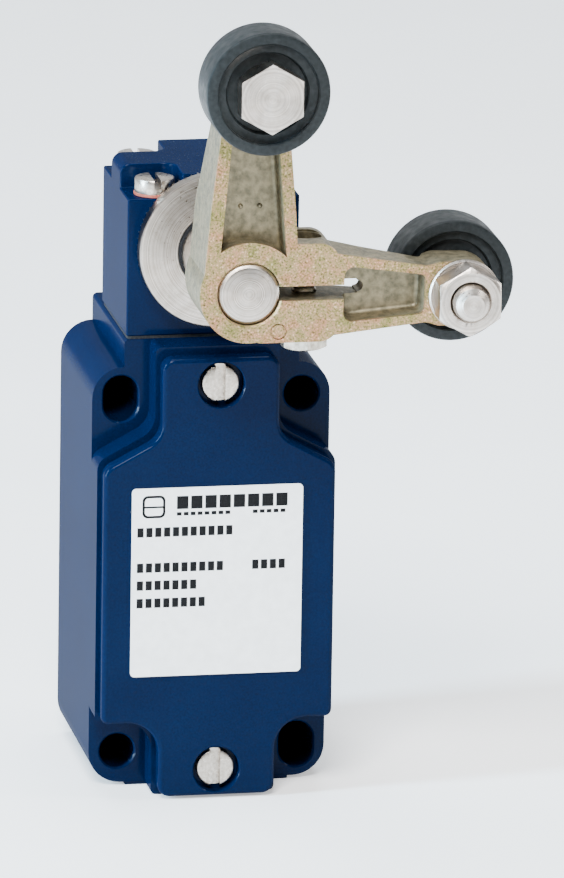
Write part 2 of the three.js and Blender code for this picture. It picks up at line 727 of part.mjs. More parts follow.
function contactBlock() {
  const { half, front, low, high, lugHalf, lugFront, lugLow, lugHigh, channel, window } = BLOCK;
  const open = front - OVERSHOOT;
  const body = join(
    box(-half, half, front, CASE.floor, low, high),
    box(-lugHalf, lugHalf, lugFront, CASE.floor, lugLow, lugHigh),
  );
  const terminalHoles = terminalPlaces().map(([x, z]) => (
    rodY(SMALL_SCREW.shank + RUNNING_GAP, TERMINAL.screwEnd + TAP_DEPTH, open, x, z, COARSE)
  ));
  const lugHoles = blockScrewPlaces().map(([x, z]) => (
    rodY(SMALL_SCREW.shank + SMALL_SCREW.gap, 0, lugFront - OVERSHOOT, x, z, COARSE)
  ));
  return cut(
    body,
    box(-channel.half, channel.half, open, channel.back, channel.low, high + OVERSHOOT),
    box(-window.half, window.half, open, window.back, window.low, window.high),
    ...terminalHoles,
    ...lugHoles,
  );
}

function terminal([x, z]) {
  const { thickness, half, top, foot, tongue } = TERMINAL;
  const low = z > 0 ? tongue.upper : tongue.lower;
  const [plateLow, plateHigh] = z > 0 ? [low, top] : [foot, low + thickness];
  const plate = box(x - half, x + half, BLOCK.front - thickness, BLOCK.front, plateLow, plateHigh);
  const contact = box(
    x + tongue.left, x + tongue.right, BLOCK.front - OVERLAP, tongue.back, low, low + thickness,
  );
  const hole = rodY(SMALL_SCREW.shank + SMALL_SCREW.gap, 0, BLOCK.front - OVERSHOOT, x, z, COARSE);
  return cut(join(plate, contact), hole);
}

function smallScrew([x, z], seat, end) {
  const { head, shank, height } = SMALL_SCREW;
  return slottedScrew({ x, z, head, shank, headBack: seat, headFront: seat - height, end });
}

function contactCarrier() {
  const { half, front, back, low, high, noseFront, noseLow } = CARRIER;
  return join(box(-half, half, front, back, low, high), box(-half, half, noseFront, back, noseLow, high));
}

// A bridge with two contact tips, on its upper face (side 1) or its lower face (side -1).
function contactBridge(low, side) {
  const { half, front, back, thickness, tipX, tipY, tipRadius, tipHeight, tipSet } = BRIDGE;
  const bar = box(-half, half, front, back, low, low + thickness);
  const [tipLow, tipHigh] = side > 0
    ? [low + thickness - tipSet, low + thickness + tipHeight]
    : [low - tipHeight, low + tipSet];
  const tips = [-tipX, tipX].map((x) => rodZ(tipRadius, tipLow, tipHigh, x, tipY, COARSE));
  return join(bar, ...tips);
}

function earthClamp() {
  const { x, z, seat, clampHalf, clampTall, clampThickness } = EARTH;
  const hole = rodY(SMALL_SCREW.shank + SMALL_SCREW.gap, 0, seat - OVERSHOOT, x, z, COARSE);
  return box(x - clampHalf, x + clampHalf, seat - clampThickness, seat, z - clampTall, z + clampTall).subtract(hole);
}

function latchSpring() {
  const { half, front, back, low, thickness } = LATCH;
  return box(-half, half, front, back, low, low + thickness);
}

// ---------------------------------------------------------------- assembly

const limitSwitch = new THREE.Group();
const shaftLine = new THREE.Group();
shaftLine.position.set(0, CASE.earPlane, AXIS_Z);
limitSwitch.add(shaftLine);

function add(group, name, solid, look) {
  const mesh = new THREE.Mesh(toGeometry(solid), MATERIALS[look]);
  mesh.name = name;
  group.add(mesh);
}

add(limitSwitch, 'housing', housing(), 'enamel');
add(limitSwitch, 'cover', cover(), 'enamel');
add(limitSwitch, 'cover_gasket', coverGasket(), 'rubber');
add(limitSwitch, 'label_plate', labelPlate(), 'label');
for (const [place, z] of Object.entries(COVER_SCREW.places)) {
  add(limitSwitch, `cover_screw_${place}`, coverScrew(z), 'steel');
}

add(limitSwitch, 'head_housing', headHousing(), 'enamel');
add(limitSwitch, 'head_gasket', headGasket(), 'rubber');
headScrewPlaces().forEach((place, index) => {
  add(limitSwitch, `head_screw_${index + 1}`, headScrew(place), 'steel');
  add(limitSwitch, `head_screw_washer_${index + 1}`, headWasher(place), 'fibre');
});

add(limitSwitch, 'plunger', plunger(), 'steel');
add(limitSwitch, 'plunger_guide', plungerGuide(), 'brass');
add(limitSwitch, 'return_spring', returnSpring(), 'steel');
add(limitSwitch, 'latch_spring', latchSpring(), 'steel');
add(limitSwitch, 'contact_block', contactBlock(), 'insulator');
add(limitSwitch, 'contact_carrier', contactCarrier(), 'insulator');
add(limitSwitch, 'contact_bridge_nc', contactBridge(BRIDGE.closedLow, 1), 'copper');
add(limitSwitch, 'contact_bridge_no', contactBridge(BRIDGE.openLow, -1), 'copper');
terminalPlaces().forEach((place, index) => {
  const screw = smallScrew(place, BLOCK.front - TERMINAL.thickness, TERMINAL.screwEnd);
  add(limitSwitch, `terminal_${index + 1}`, terminal(place), 'brass');
  add(limitSwitch, `terminal_screw_${index + 1}`, screw, 'steel');
});
blockScrewPlaces().forEach((place, index) => {
  add(limitSwitch, `block_screw_${index + 1}`, smallScrew(place, BLOCK.lugFront, BLOCK.screwEnd), 'steel');
});
const earthScrew = smallScrew([EARTH.x, EARTH.z], EARTH.seat - EARTH.clampThickness, EARTH.end);
add(limitSwitch, 'earth_clamp', earthClamp(), 'brass');
add(limitSwitch, 'earth_screw', earthScrew, 'steel');

add(shaftLine, 'bearing_flange', bearingFlange(), 'steel');
add(shaftLine, 'serrated_ring', serratedRing(), 'steel');
add(shaftLine, 'shaft_seal', ringY(SHAFT.bore, SEAL.radius - RUNNING_GAP, -SEAL.back, -SEAL.front), 'rubber');
add(shaftLine, 'rear_bush', ringY(SHAFT.bore, REAR_BUSH.radius, -REAR_BUSH.back, -REAR_BUSH.front), 'brass');
add(shaftLine, 'shaft', shaft(), 'steel');
add(shaftLine, 'shaft_circlip', circlip(), 'steel');
add(shaftLine, 'drive_cam', driveCam(), 'steel');
add(shaftLine, 'shaft_sleeve', ringY(SHAFT.bore, SLEEVE.radius, -SLEEVE.back, -SLEEVE.front), 'steel');
add(shaftLine, 'fork_lever', forkLever(), 'zinc');
add(shaftLine, 'clamp_screw', clampScrew(), 'steel');

const upperEnd = armEnd(UPPER_ARM);
const rightEnd = armEnd(RIGHT_ARM);
const frontHead = FRONT_ROLLER_BACK + ROLLER.width - BOLT.seat;
const rearHead = REAR_ROLLER_BACK + BOLT.seat;
const washerFront = HUB.front + BOLT.washerThickness;
const frontBush = ringY(BOLT.hole, BOLT.bush, -HUB.front, -frontHead, ...upperEnd);
const rearBush = ringY(BOLT.hole, BOLT.bush, -rearHead, -RIGHT_ARM.bossBack, ...rightEnd);
const frontBolt = hexBolt(frontHead, frontHead + BOLT.head, BOLT.frontTail, upperEnd);
const rearBolt = hexBolt(rearHead - BOLT.head, rearHead, BOLT.rearTail, rightEnd);
const rearWasher = ringY(BOLT.hole, BOLT.washer, -HUB.front, -washerFront, ...rightEnd);
add(shaftLine, 'front_roller', roller(FRONT_ROLLER_BACK, upperEnd), 'roller');
add(shaftLine, 'front_roller_bush', frontBush, 'steel');
add(shaftLine, 'front_roller_bolt', frontBolt, 'steel');
add(shaftLine, 'front_roller_nut', hexNut(UPPER_ARM.bossBack - BOLT.nut, upperEnd), 'steel');
add(shaftLine, 'rear_roller', roller(REAR_ROLLER_BACK, rightEnd), 'roller');
add(shaftLine, 'rear_roller_bush', rearBush, 'steel');
add(shaftLine, 'rear_roller_bolt', rearBolt, 'steel');
add(shaftLine, 'rear_roller_washer', rearWasher, 'steel');
add(shaftLine, 'rear_roller_nut', hexNut(washerFront, rightEnd), 'steel');

export default limitSwitch;
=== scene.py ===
"""Looks of the latching limit switch. Lengths are millimetres in the frame's axes until a mesh is made:
+X right, +Z up, the front faces -Y, and the mounting plane is Y = 0."""

import json
import math

import bmesh
import bpy
from mathutils import Matrix, Vector


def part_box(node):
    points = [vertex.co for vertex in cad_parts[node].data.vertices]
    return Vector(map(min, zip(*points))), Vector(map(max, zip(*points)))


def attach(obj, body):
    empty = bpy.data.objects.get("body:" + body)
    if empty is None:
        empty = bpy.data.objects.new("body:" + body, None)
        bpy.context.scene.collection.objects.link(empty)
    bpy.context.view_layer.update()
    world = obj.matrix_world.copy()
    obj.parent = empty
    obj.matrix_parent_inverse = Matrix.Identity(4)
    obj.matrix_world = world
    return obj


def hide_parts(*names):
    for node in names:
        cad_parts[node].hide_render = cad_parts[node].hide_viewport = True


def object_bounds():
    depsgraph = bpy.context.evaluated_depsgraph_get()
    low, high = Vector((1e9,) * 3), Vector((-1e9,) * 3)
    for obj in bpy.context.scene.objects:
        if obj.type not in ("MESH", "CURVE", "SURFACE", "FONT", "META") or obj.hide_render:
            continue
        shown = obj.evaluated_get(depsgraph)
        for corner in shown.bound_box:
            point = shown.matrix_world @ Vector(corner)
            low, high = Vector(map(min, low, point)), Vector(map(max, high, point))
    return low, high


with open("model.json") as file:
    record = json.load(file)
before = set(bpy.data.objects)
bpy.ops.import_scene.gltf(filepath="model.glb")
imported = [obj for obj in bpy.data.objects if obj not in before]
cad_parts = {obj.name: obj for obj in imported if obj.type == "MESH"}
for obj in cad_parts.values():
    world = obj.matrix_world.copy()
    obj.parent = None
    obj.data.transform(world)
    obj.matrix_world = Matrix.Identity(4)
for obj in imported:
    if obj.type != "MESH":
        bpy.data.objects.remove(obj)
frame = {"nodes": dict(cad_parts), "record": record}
cad_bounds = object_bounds()

MM = 0.001
FULL = 2 * math.pi


def extent(node):
    """The lowest and highest corners of a CAD node in millimetres."""
    low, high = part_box(node)
    return Vector(low) / MM, Vector(high) / MM


def middle(node):
    low, high = extent(node)
    return (low + high) / 2


# ---------------------------------------------------------------- dimensions

CASE_LOW, CASE_HIGH = extent("housing")
COVER_LOW, COVER_HIGH = extent("cover")
HEAD_LOW, HEAD_HIGH = extent("head_housing")
LABEL_LOW, LABEL_HIGH = extent("label_plate")
LEVER_LOW, LEVER_HIGH = extent("fork_lever")
SHAFT = middle("shaft")
AXIS_Z = SHAFT.z

# Tools run past the faces they cut by OVERSHOOT.
OVERSHOOT = 1
ROUND_STEPS = 96
FINE_STEPS = 128
OUTLINE_STEPS = 88
ROD_STEPS = 64
HOLE_STEPS = 54

# The case, with two round and two slotted holes on a 30 x 60 pattern.
HOLE_X, HOLE_Z = 15.0, 30.0
HOLE_RADIUS = 2.9
SLOT_REACH = 1.0
HOLE_FLARE = 0.25
EAR_PLANE = HEAD_LOW.y
RIM = CASE_LOW.y
CASE_HALF = CASE_HIGH.x
CASE_TALL = 35.4
CASE_CORNER = 5.3
CASE_EDGE = 0.7
COLLAR_HALF = 14.5
COLLAR_CORNER = 0.8
FOOT_HALF = 13.7
FOOT_TOP = -33.6
FOOT_CORNER = 0.3
FOOT_INSET = 0.3
FLOOR_Y = -3.0
RAISED = {
    "neck": 10.3, "body": CASE_HALF, "low": CASE_LOW.z, "skirt": -23.2,
    "shoulder_low": 21.0, "shoulder_top": 26.1, "top": CASE_HIGH.z, "corner": 0.9, "bend": 4.0,
}
HOLLOW = {
    "neck": 7.4, "body": 16.9, "low": -24.0, "skirt": -20.4,
    "shoulder_low": 18.4, "shoulder_top": 23.0, "top": 29.5, "corner": 1.0, "bend": 2.5,
}
GUIDE_BORE = 5.0
GUIDE_START = 27.0

# The conduit entry in the foot, with its thread as separate rings.
CONDUIT_RADIUS = 9.3
CONDUIT_Y = -15.5
CONDUIT_TOP = -18.0
THREAD_START = 1.2
THREAD_PITCH = 1.5
THREAD_COUNT = 8
THREAD_DEPTH = 0.45
THREAD_SHARE = 0.4

# The cover and its seal.
COVER = {
    "neck": 9.7, "body": COVER_HIGH.x, "low": COVER_LOW.z, "skirt": -22.7,
    "shoulder_low": 20.5, "shoulder_top": 25.6, "top": COVER_HIGH.z, "corner": 2.0, "bend": 4.0,
}
COVER_SEAL = {
    "neck": 9.1, "body": 18.6, "low": -34.9, "skirt": -22.1,
    "shoulder_low": 20.0, "shoulder_top": 25.1, "top": 38.3, "corner": 2.0, "bend": 4.0,
}
SKIRT_CORNER = 1.2
SHOULDER_CORNER = 2.5
COVER_EDGE = 0.75
COUNTERBORE = 3.85
COUNTERBORE_DEPTH = 0.8
COUNTERBORE_FLARE = 0.15
SCREW_HOLE = 2.2

# The badge's place on the label, from its top left corner.
BADGE_LEFT = 1.7
BADGE_TOP = 1.2
BADGE_SIZE = 3.8
BADGE_LINE = 0.4

# The slotted screws of the cover and the head.
COVER_SCREW = {"radius": 3.1, "height": 1.5, "slot_width": 1.6}
HEAD_SCREW = {"radius": 3.3, "height": 2.4, "slot_width": 1.1}
SCREW_SLOT_DEPTH = 1.3
SCREW_SHANK = 1.95
SCREW_EDGE = 0.35
WASHER_BORE = 2.1
WASHER_THICK = 0.5
WASHER_EDGE = 0.1

# The head and the parts on the shaft axis.
HEAD_SEAT = 63.5
HEAD_CORNER = 1.7
HEAD_BOTTOM_CORNER = 0.3
HEAD_EDGE = 0.4
HEAD_SCREW_HOLE = 2.1
NOTCH_INNER = 5.2
NOTCH_DEPTH = 7.8
NOTCH_CORNER = 2.4
NOTCH_REACH = 2.0
CHAMBER_HALF = 9.6
CHAMBER_FRONT = -25.2
CHAMBER_BACK = -13.8
CHAMBER_CORNER = 0.5
SHAFT_HOLE = 6.3
SLEEVE_BORE = 5.03
FLANGE_SEAT = 6.25
FLANGE_STANDOFF = 0.8
SEAL_SEAT = 6.45
SEAL_DEPTH = 1.6
FLANGE_STEPS = 160
INDEX_TEETH = 72
INDEX_TOOTH = 0.6
INDEX_BORE = 6.35

# The fork lever: two arms from one hub, with clamp ears between them.
ARM_LENGTH = 35.0
UPPER_ANGLE = 88.5
RIGHT_ANGLE = -1.5
HUB_RADIUS = 8.0
EAR_DEPTH = 11.5
EAR_HALF = 8.06
EAR_END = 14.7
EAR_CORNER = 3.2
BORE = 5.15
BORE_FLARE = 0.3
CLAMP_SLOT_END = 18.3
CLAMP_SLOT_HALF = 1.2
CLAMP_SLOT_RELIEF = 0.95
CLAMP_HOLE = 2.05
CLAMP_RELIEF = 2.7
CLAMP_RELIEF_START = 5.06
CLAMP_MOUTH = 3.1
CLAMP_MOUTH_START = 7.7
EJECTOR_X = 4.8
EJECTOR_RISE = -6.2
DOT_RISE = 13.7
DOT_PLACES = (-0.9, 2.2)
POCKET_DEPTH = 4.0
POCKET_DRAFT = 0.07
POCKET_EDGE = 0.7
LEVER_EDGE = 0.4
BOLT_HOLE = 3.05

# A roller's face from its bore outwards, as (radius, depth): the pocket, the step and the rim.
ROLLER_FACE = [
    (4.65, 2.2), (6.4, 2.2), (6.6, 2.0),
    (6.6, 1.25), (6.75, 1.1), (7.9, 1.1), (8.1, 0.95),
    (8.1, 0.2), (8.3, 0.0),
]

# The rollers' bolts and nuts are M6 and the clamp screw is M4.
BOLT_RADIUS = 3.0
BOLT_FLATS = 10
BOLT_HEAD = 4
CLAMP_RADIUS = 2.0
CLAMP_FLATS = 7
CLAMP_HEAD = 2.5
HEAD_LAP = 0.2
CHAMFER_ANGLE = 28
STUD_PITCH = 1.0
STUD_DEPTH = 0.3

# ---------------------------------------------------------------- outlines


def rounded(corners, steps=8):
    """An outline through corners (x, z, radius), each rounded to its own radius."""
    outline = []
    for i, (x, z, radius) in enumerate(corners):
        here = Vector((x, z))
        if radius == 0:
            outline.append(here)
            continue
        before = (Vector(corners[i - 1][:2]) - here).normalized()
        after = (Vector(corners[(i + 1) % len(corners)][:2]) - here).normalized()
        half = before.angle(after) / 2
        centre = here + (before + after).normalized() * radius / math.sin(half)
        start = here + before * radius / math.tan(half) - centre
        end = here + after * radius / math.tan(half) - centre
        first = math.atan2(start.y, start.x)
        sweep = (math.atan2(end.y, end.x) - first + math.pi) % FULL - math.pi
        for k in range(steps + 1):
            angle = first + sweep * k / steps
            outline.append(centre + radius * Vector((math.cos(angle), math.sin(angle))))
    return outline


def mirrored(right):
    """Closes an outline whose right half runs from the foot to the top."""
    return right + [(-x, z, radius) for x, z, radius in reversed(right)]


def rectangle(x0, x1, z0, z1, radius):
    return rounded([(x0, z0, radius), (x1, z0, radius), (x1, z1, radius), (x0, z1, radius)])


def circle(x, z, radius, steps=OUTLINE_STEPS):
    return [Vector((x + radius * math.cos(FULL * k / steps), z + radius * math.sin(FULL * k / steps)))
            for k in range(steps)]


def bottle(neck, body, low, skirt, shoulder_low, shoulder_top, top, corner, bend):
    """The bottle outline of the cover, of the raised front and of the hollow."""
    return rounded(mirrored([
        (neck, low, corner),
        (neck, skirt, bend + SKIRT_CORNER),
        (body, skirt, SKIRT_CORNER),
        (body, shoulder_low, SHOULDER_CORNER),
        (neck, shoulder_top, bend),
        (neck, top, corner),
    ]))


# ---------------------------------------------------------------- mesh tools


def new_object(name, shape):
    mesh = bpy.data.meshes.new(name)
    bmesh.ops.recalc_face_normals(shape, faces=shape.faces)
    shape.to_mesh(mesh)
    shape.free()
    piece = bpy.data.objects.new(name, mesh)
    bpy.context.scene.collection.objects.link(piece)
    return piece


def add_prism(shape, *ends):
    """Adds the closed solid between two rings of as many (x, y, z) corners."""
    first, last = [[shape.verts.new((x * MM, y * MM, z * MM)) for x, y, z in end] for end in ends]
    shape.faces.new(first)
    shape.faces.new(reversed(last))
    for i in range(len(first)):
        shape.faces.new((first[i - 1], first[i], last[i], last[i - 1]))


def prism(first, last, name="tool"):
    """The closed solid between two rings of corners."""
    shape = bmesh.new()
    add_prism(shape, first, last)
    return new_object(name, shape)


def at_depth(outline, y):
    """An outline in X and Z as corners at one Y."""
    return [(p.x, y, p.y) for p in outline]


def slab(outline, back, front, name="tool"):
    """An outline in X and Z carried from Y = back forwards to Y = front."""
    return prism(at_depth(outline, back), at_depth(outline, front), name)


def turned_to(piece, matrix):
    piece.data.transform(matrix)
    if matrix.determinant() < 0:
        piece.data.flip_normals()
    return piece


def upright(outline, low, high, name="tool"):
    """An outline in X and Y carried from Z = low up to Z = high."""
    piece = slab([Vector((p.x, -p.y)) for p in outline], high, low, name)
    return turned_to(piece, Matrix.Rotation(math.pi / 2, 4, "X"))


def lathe(profile, centre, name="tool", steps=ROUND_STEPS):
    """A closed profile of (radius, y) turned about Y, with the object's origin on its axis."""
    shape = bmesh.new()
    rings = []
    for radius, y in profile:
        if radius == 0:
            rings.append([shape.verts.new((0, y * MM, 0))] * steps)
            continue
        ring = []
        for k in range(steps):
            angle = FULL * k / steps
            x, z = radius * MM * math.cos(angle), radius * MM * math.sin(angle)
            ring.append(shape.verts.new((x, y * MM, z)))
        rings.append(ring)
    for i, ring in enumerate(rings):
        below = rings[i - 1]
        for k in range(steps):
            corners = [below[k - 1], below[k], ring[k], ring[k - 1]]
            corners = [v for j, v in enumerate(corners) if v is not corners[j - 1]]
            if len(corners) > 2:
                shape.faces.new(corners)
    piece = new_object(name, shape)
    piece.location = (centre[0] * MM, 0, centre[1] * MM)
    return piece


def rod_y(radius, back, front, x, z):
    return slab(circle(x, z, radius, ROD_STEPS), back, front)


def rod_z(radius, low, high, x, y):
    return upright(circle(x, y, radius, ROD_STEPS), low, high)


def mouth(outline_at, radius, y, direction, x, z, flare):
    """The small chamfer where a hole meets a face at y that looks along direction."""
    lap = 0.05
    inner = outline_at(x, z, radius - lap)
    outer = outline_at(x, z, radius + 2 * flare)
    return prism(at_depth(inner, y - direction * (flare + lap)), at_depth(outer, y + direction * flare))


def settled(piece):
    """Writes a piece's modifiers into its mesh."""
    graph = bpy.context.evaluated_depsgraph_get()
    mesh = bpy.data.meshes.new_from_object(piece.evaluated_get(graph))
    old = piece.data
    piece.modifiers.clear()
    piece.data = mesh
    bpy.data.meshes.remove(old)
    return piece


def combine(piece, operation, tools):
    for tool in tools:
        step = piece.modifiers.new("step", "BOOLEAN")
        step.operation = operation
        step.solver = "EXACT"
        step.object = tool
    settled(piece)
    for tool in tools:
        mesh = tool.data
        bpy.data.objects.remove(tool)
        bpy.data.meshes.remove(mesh)
    return piece


def join(piece, *tools):
    return combine(piece, "UNION", tools)


def cut(piece, *tools):
    return combine(piece, "DIFFERENCE", tools)


def common(piece, *tools):
    return combine(piece, "INTERSECT", tools)


def soften(piece, width, segments=3, limit=35):
    """Rounds every sharp edge, inside and outside corners alike."""
    bevel = piece.modifiers.new("edge", "BEVEL")
    bevel.width = width * MM
    bevel.segments = segments
    bevel.limit_method = "ANGLE"
    bevel.angle_limit = math.radians(limit)
    return settled(piece)


def finish_piece(piece, name, body, look, replaced=()):
    """Smooths, names and dresses a piece, and ties it to its body."""
    piece.name = name
    piece.data.name = name
    piece.data.polygons.foreach_set("use_smooth", [True] * len(piece.data.polygons))
    piece.data.set_sharp_from_angle(angle=math.radians(40))
    weighted = piece.modifiers.new("normals", "WEIGHTED_NORMAL")
    weighted.keep_sharp = True
    settled(piece)
    piece.data.materials.clear()
    piece.data.materials.append(look)
    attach(piece, body)
    if replaced:
        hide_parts(*replaced)
    return piece


# ---------------------------------------------------------------- materials


class Recipe:
    """One material under construction, with short ways to add its nodes."""

    def __init__(self, name, **sockets):
        self.material = bpy.data.materials.new(name)
        self.material.use_nodes = True
        self.nodes = self.material.node_tree.nodes
        self.links = self.material.node_tree.links
        self.shader = self.nodes["Principled BSDF"]
        for socket, value in sockets.items():
            self.shader.inputs[socket.replace("_", " ")].default_value = value
        self.place = self.nodes.new("ShaderNodeTexCoord").outputs["Object"]

    def noise(self, size, detail=3.0, stretch=(1, 1, 1)):
        """Noise whose grains are about size millimetres across."""
        mapping = self.nodes.new("ShaderNodeMapping")
        mapping.inputs["Scale"].default_value = stretch
        self.links.new(self.place, mapping.inputs["Vector"])
        texture = self.nodes.new("ShaderNodeTexNoise")
        texture.inputs["Scale"].default_value = 1 / (size * MM)
        texture.inputs["Detail"].default_value = detail
        self.links.new(mapping.outputs["Vector"], texture.inputs["Vector"])
        return texture.outputs["Fac"]

    def ramp(self, factor, *stops):
        """A colour ramp from (position, colour) stops."""
        node = self.nodes.new("ShaderNodeValToRGB")
        elements = node.color_ramp.elements
        while len(elements) < len(stops):
            elements.new(0.5)
        for element, (position, color) in zip(elements, stops):
            element.position = position
            element.color = (*color, 1)
        self.links.new(factor, node.inputs["Fac"])
        return node.outputs["Color"]

    def span(self, factor, low, high, to_low, to_high):
        node = self.nodes.new("ShaderNodeMapRange")
        for socket, value in zip(("From Min", "From Max", "To Min", "To Max"), (low, high, to_low, to_high)):
            node.inputs[socket].default_value = value
        self.links.new(factor, node.inputs["Value"])
        return node.outputs["Result"]

    def mix(self, factor, first, second, blend="MIX"):
        node = self.nodes.new("ShaderNodeMix")
        node.data_type = "RGBA"
        node.blend_type = blend
        for socket, value in ((0, factor), (6, first), (7, second)):
            if isinstance(value, (int, float)):
                node.inputs[socket].default_value = value
            elif isinstance(value, tuple):
                node.inputs[socket].default_value = (*value, 1)
            else:
                self.links.new(value, node.inputs[socket])
        return node.outputs[2]

    def math(self, operation, first, second=0.0):
        node = self.nodes.new("ShaderNodeMath")
        node.operation = operation
        for socket, value in enumerate((first, second)):
            if isinstance(value, (int, float)):
                node.inputs[socket].default_value = value
            else:
                self.links.new(value, node.inputs[socket])
        return node.outputs["Value"]

    def axis(self, name):
        """One coordinate of the surface point, in metres."""
        node = self.nodes.new("ShaderNodeSeparateXYZ")
        self.links.new(self.place, node.inputs["Vector"])
        return node.outputs[name]

    def radius(self):
        """Distance from the object's own Y axis, in metres."""
        x, z = self.axis("X"), self.axis("Z")
        return self.math("SQRT", self.math("ADD", self.math("MULTIPLY", x, x), self.math("MULTIPLY", z, z)))

    def use(self, socket, value):
        self.links.new(value, self.shader.inputs[socket])

    def bump(self, height, depth, strength=1.0):
        """Relief of about depth millimetres; a second call lies on top of the first."""
        node = self.nodes.new("ShaderNodeBump")
        node.inputs["Distance"].default_value = depth * MM
        node.inputs["Strength"].default_value = strength
        self.links.new(height, node.inputs["Height"])
        current = self.shader.inputs["Normal"]
        if current.is_linked:
            self.links.new(current.links[0].from_socket, node.inputs["Normal"])
        self.use("Normal", node.outputs["Normal"])


def enamel():
    """Navy stove enamel over a casting: orange peel, fine speckle and a few dull specks."""
    recipe = Recipe("blue_enamel", Specular_IOR_Level=0.0, Coat_Weight=0.10, Coat_Roughness=0.14,
                    Coat_Tint=(0.6, 0.8, 1.0, 1.0))
    speckle = recipe.noise(0.35, 4.0)
    color = recipe.ramp(speckle, (0.3, (0.0001, 0.0048, 0.021)), (0.7, (0.0004, 0.0076, 0.033)))
    cloud = recipe.ramp(recipe.noise(14.0, 2.0), (0.35, (0.82, 0.84, 0.88)), (0.65, (1.0, 1.0, 1.0)))
    recipe.use("Base Color", recipe.mix(1.0, color, cloud, "MULTIPLY"))
    recipe.use("Roughness", recipe.span(recipe.noise(2.5, 4.0), 0.3, 0.7, 0.34, 0.46))
    recipe.bump(recipe.noise(0.9, 2.0), 0.03, 0.5)
    recipe.bump(recipe.noise(0.25, 2.0), 0.01, 0.5)
    return recipe.material


def turned_steel(name, dark, light, ring_width):
    """Lathe-turned steel: fine rings round the axis, faint clouds and small pits."""
    recipe = Recipe(name, Metallic=1.0, Anisotropic=0.75)
    around = recipe.nodes.new("ShaderNodeTangent")
    around.direction_type = "RADIAL"
    around.axis = "Y"
    recipe.use("Tangent", around.outputs["Tangent"])
    rings = recipe.nodes.new("ShaderNodeTexNoise")
    rings.noise_dimensions = "1D"
    rings.inputs["Scale"].default_value = 1 / (ring_width * MM)
    rings.inputs["Detail"].default_value = 3.0
    recipe.links.new(recipe.radius(), rings.inputs["W"])
    tone = recipe.ramp(rings.outputs["Fac"], (0.3, dark), (0.7, light))
    cloud = recipe.ramp(recipe.noise(1.6, 4.0), (0.3, (0.80, 0.78, 0.75)), (0.65, (1.0, 1.0, 1.0)))
    recipe.use("Base Color", recipe.mix(1.0, tone, cloud, "MULTIPLY"))
    recipe.use("Roughness", recipe.span(recipe.noise(0.5, 3.0), 0.3, 0.7, 0.26, 0.42))
    recipe.bump(rings.outputs["Fac"], 0.02, 0.6)
    recipe.bump(recipe.noise(0.3, 3.0), 0.01, 0.4)
    return recipe.material


def plated_steel(name, low, high, grain):
    """Zinc-plated fastener steel with a soft mottled bloom."""
    recipe = Recipe(name, Metallic=1.0, Roughness=0.3)
    mottle = recipe.noise(grain, 5.0)
    recipe.use("Base Color", recipe.ramp(mottle, (0.3, low), (0.68, high)))
    recipe.use("Roughness", recipe.span(recipe.noise(grain * 1.7, 3.0), 0.3, 0.7, 0.22, 0.40))
    recipe.bump(recipe.noise(grain * 0.6, 4.0), 0.02, 0.5)
    return recipe.material


def chromated_zinc():
    """Yellow-chromated die casting: gold, pink and green grains, with painted shade in the pockets as a
    darker, plainer olive.
    """
    recipe = Recipe("chromated_zinc", Metallic=0.75, Roughness=0.5)
    grain = recipe.noise(0.34, 5.0)
    tint = recipe.ramp(
        grain,
        (0.30, (0.06, 0.055, 0.025)),
        (0.42, (0.24, 0.19, 0.08)),
        (0.50, (0.33, 0.27, 0.16)),
        (0.58, (0.40, 0.22, 0.15)),
        (0.70, (0.66, 0.56, 0.42)),
    )
    drift = recipe.ramp(recipe.noise(3.0, 3.0), (0.35, (0.66, 0.74, 0.45)), (0.5, (1.0, 0.93, 0.76)),
                        (0.65, (1.0, 0.74, 0.62)))
    face = recipe.mix(1.0, tint, drift, "MULTIPLY")
    # Painted shade: every surface more than 0.8 mm behind the lever's front face takes this darker, plainer
    # olive, pocket floors and walls included.
    soft = recipe.ramp(recipe.noise(1.2, 4.0), (0.35, (0.12, 0.105, 0.065)), (0.65, (0.25, 0.21, 0.13)))
    depth = recipe.span(recipe.axis("Y"), (LEVER_LOW.y + 0.5) * MM, (LEVER_LOW.y + 0.8) * MM, 0.0, 1.0)
    recipe.use("Base Color", recipe.mix(depth, face, soft))
    recipe.use("Roughness", recipe.span(grain, 0.3, 0.7, 0.38, 0.58))
    recipe.bump(grain, 0.04, 0.8)
    recipe.bump(recipe.noise(1.5, 3.0), 0.03, 0.4)
    return recipe.material


def roller_plastic():
    """Charcoal moulded plastic with light scuffs."""
    recipe = Recipe("roller_plastic", Specular_IOR_Level=0.22)
    scuff = recipe.noise(0.7, 6.0)
    dark, light = (0.004, 0.006, 0.0065), (0.014, 0.017, 0.018)
    recipe.use("Base Color", recipe.ramp(scuff, (0.35, dark), (0.72, light)))
    recipe.use("Roughness", recipe.span(recipe.noise(1.8, 4.0), 0.3, 0.7, 0.36, 0.56))
    recipe.bump(recipe.noise(0.3, 3.0), 0.02, 0.6)
    return recipe.material


def plain_grain(name, low, high, grain, roughness, metallic=0.0, depth=0.02, gloss=0.5):
    """A two-tone grained material for gaskets, fibre, brass and mouldings."""
    recipe = Recipe(name, Metallic=metallic, Specular_IOR_Level=gloss)
    fleck = recipe.noise(grain, 5.0)
    recipe.use("Base Color", recipe.ramp(fleck, (0.32, low), (0.68, high)))
    drift = recipe.noise(grain * 3, 3.0)
    recipe.use("Roughness", recipe.span(drift, 0.3, 0.7, roughness - 0.07, roughness + 0.07))
    recipe.bump(fleck, depth, 0.5)
    return recipe.material


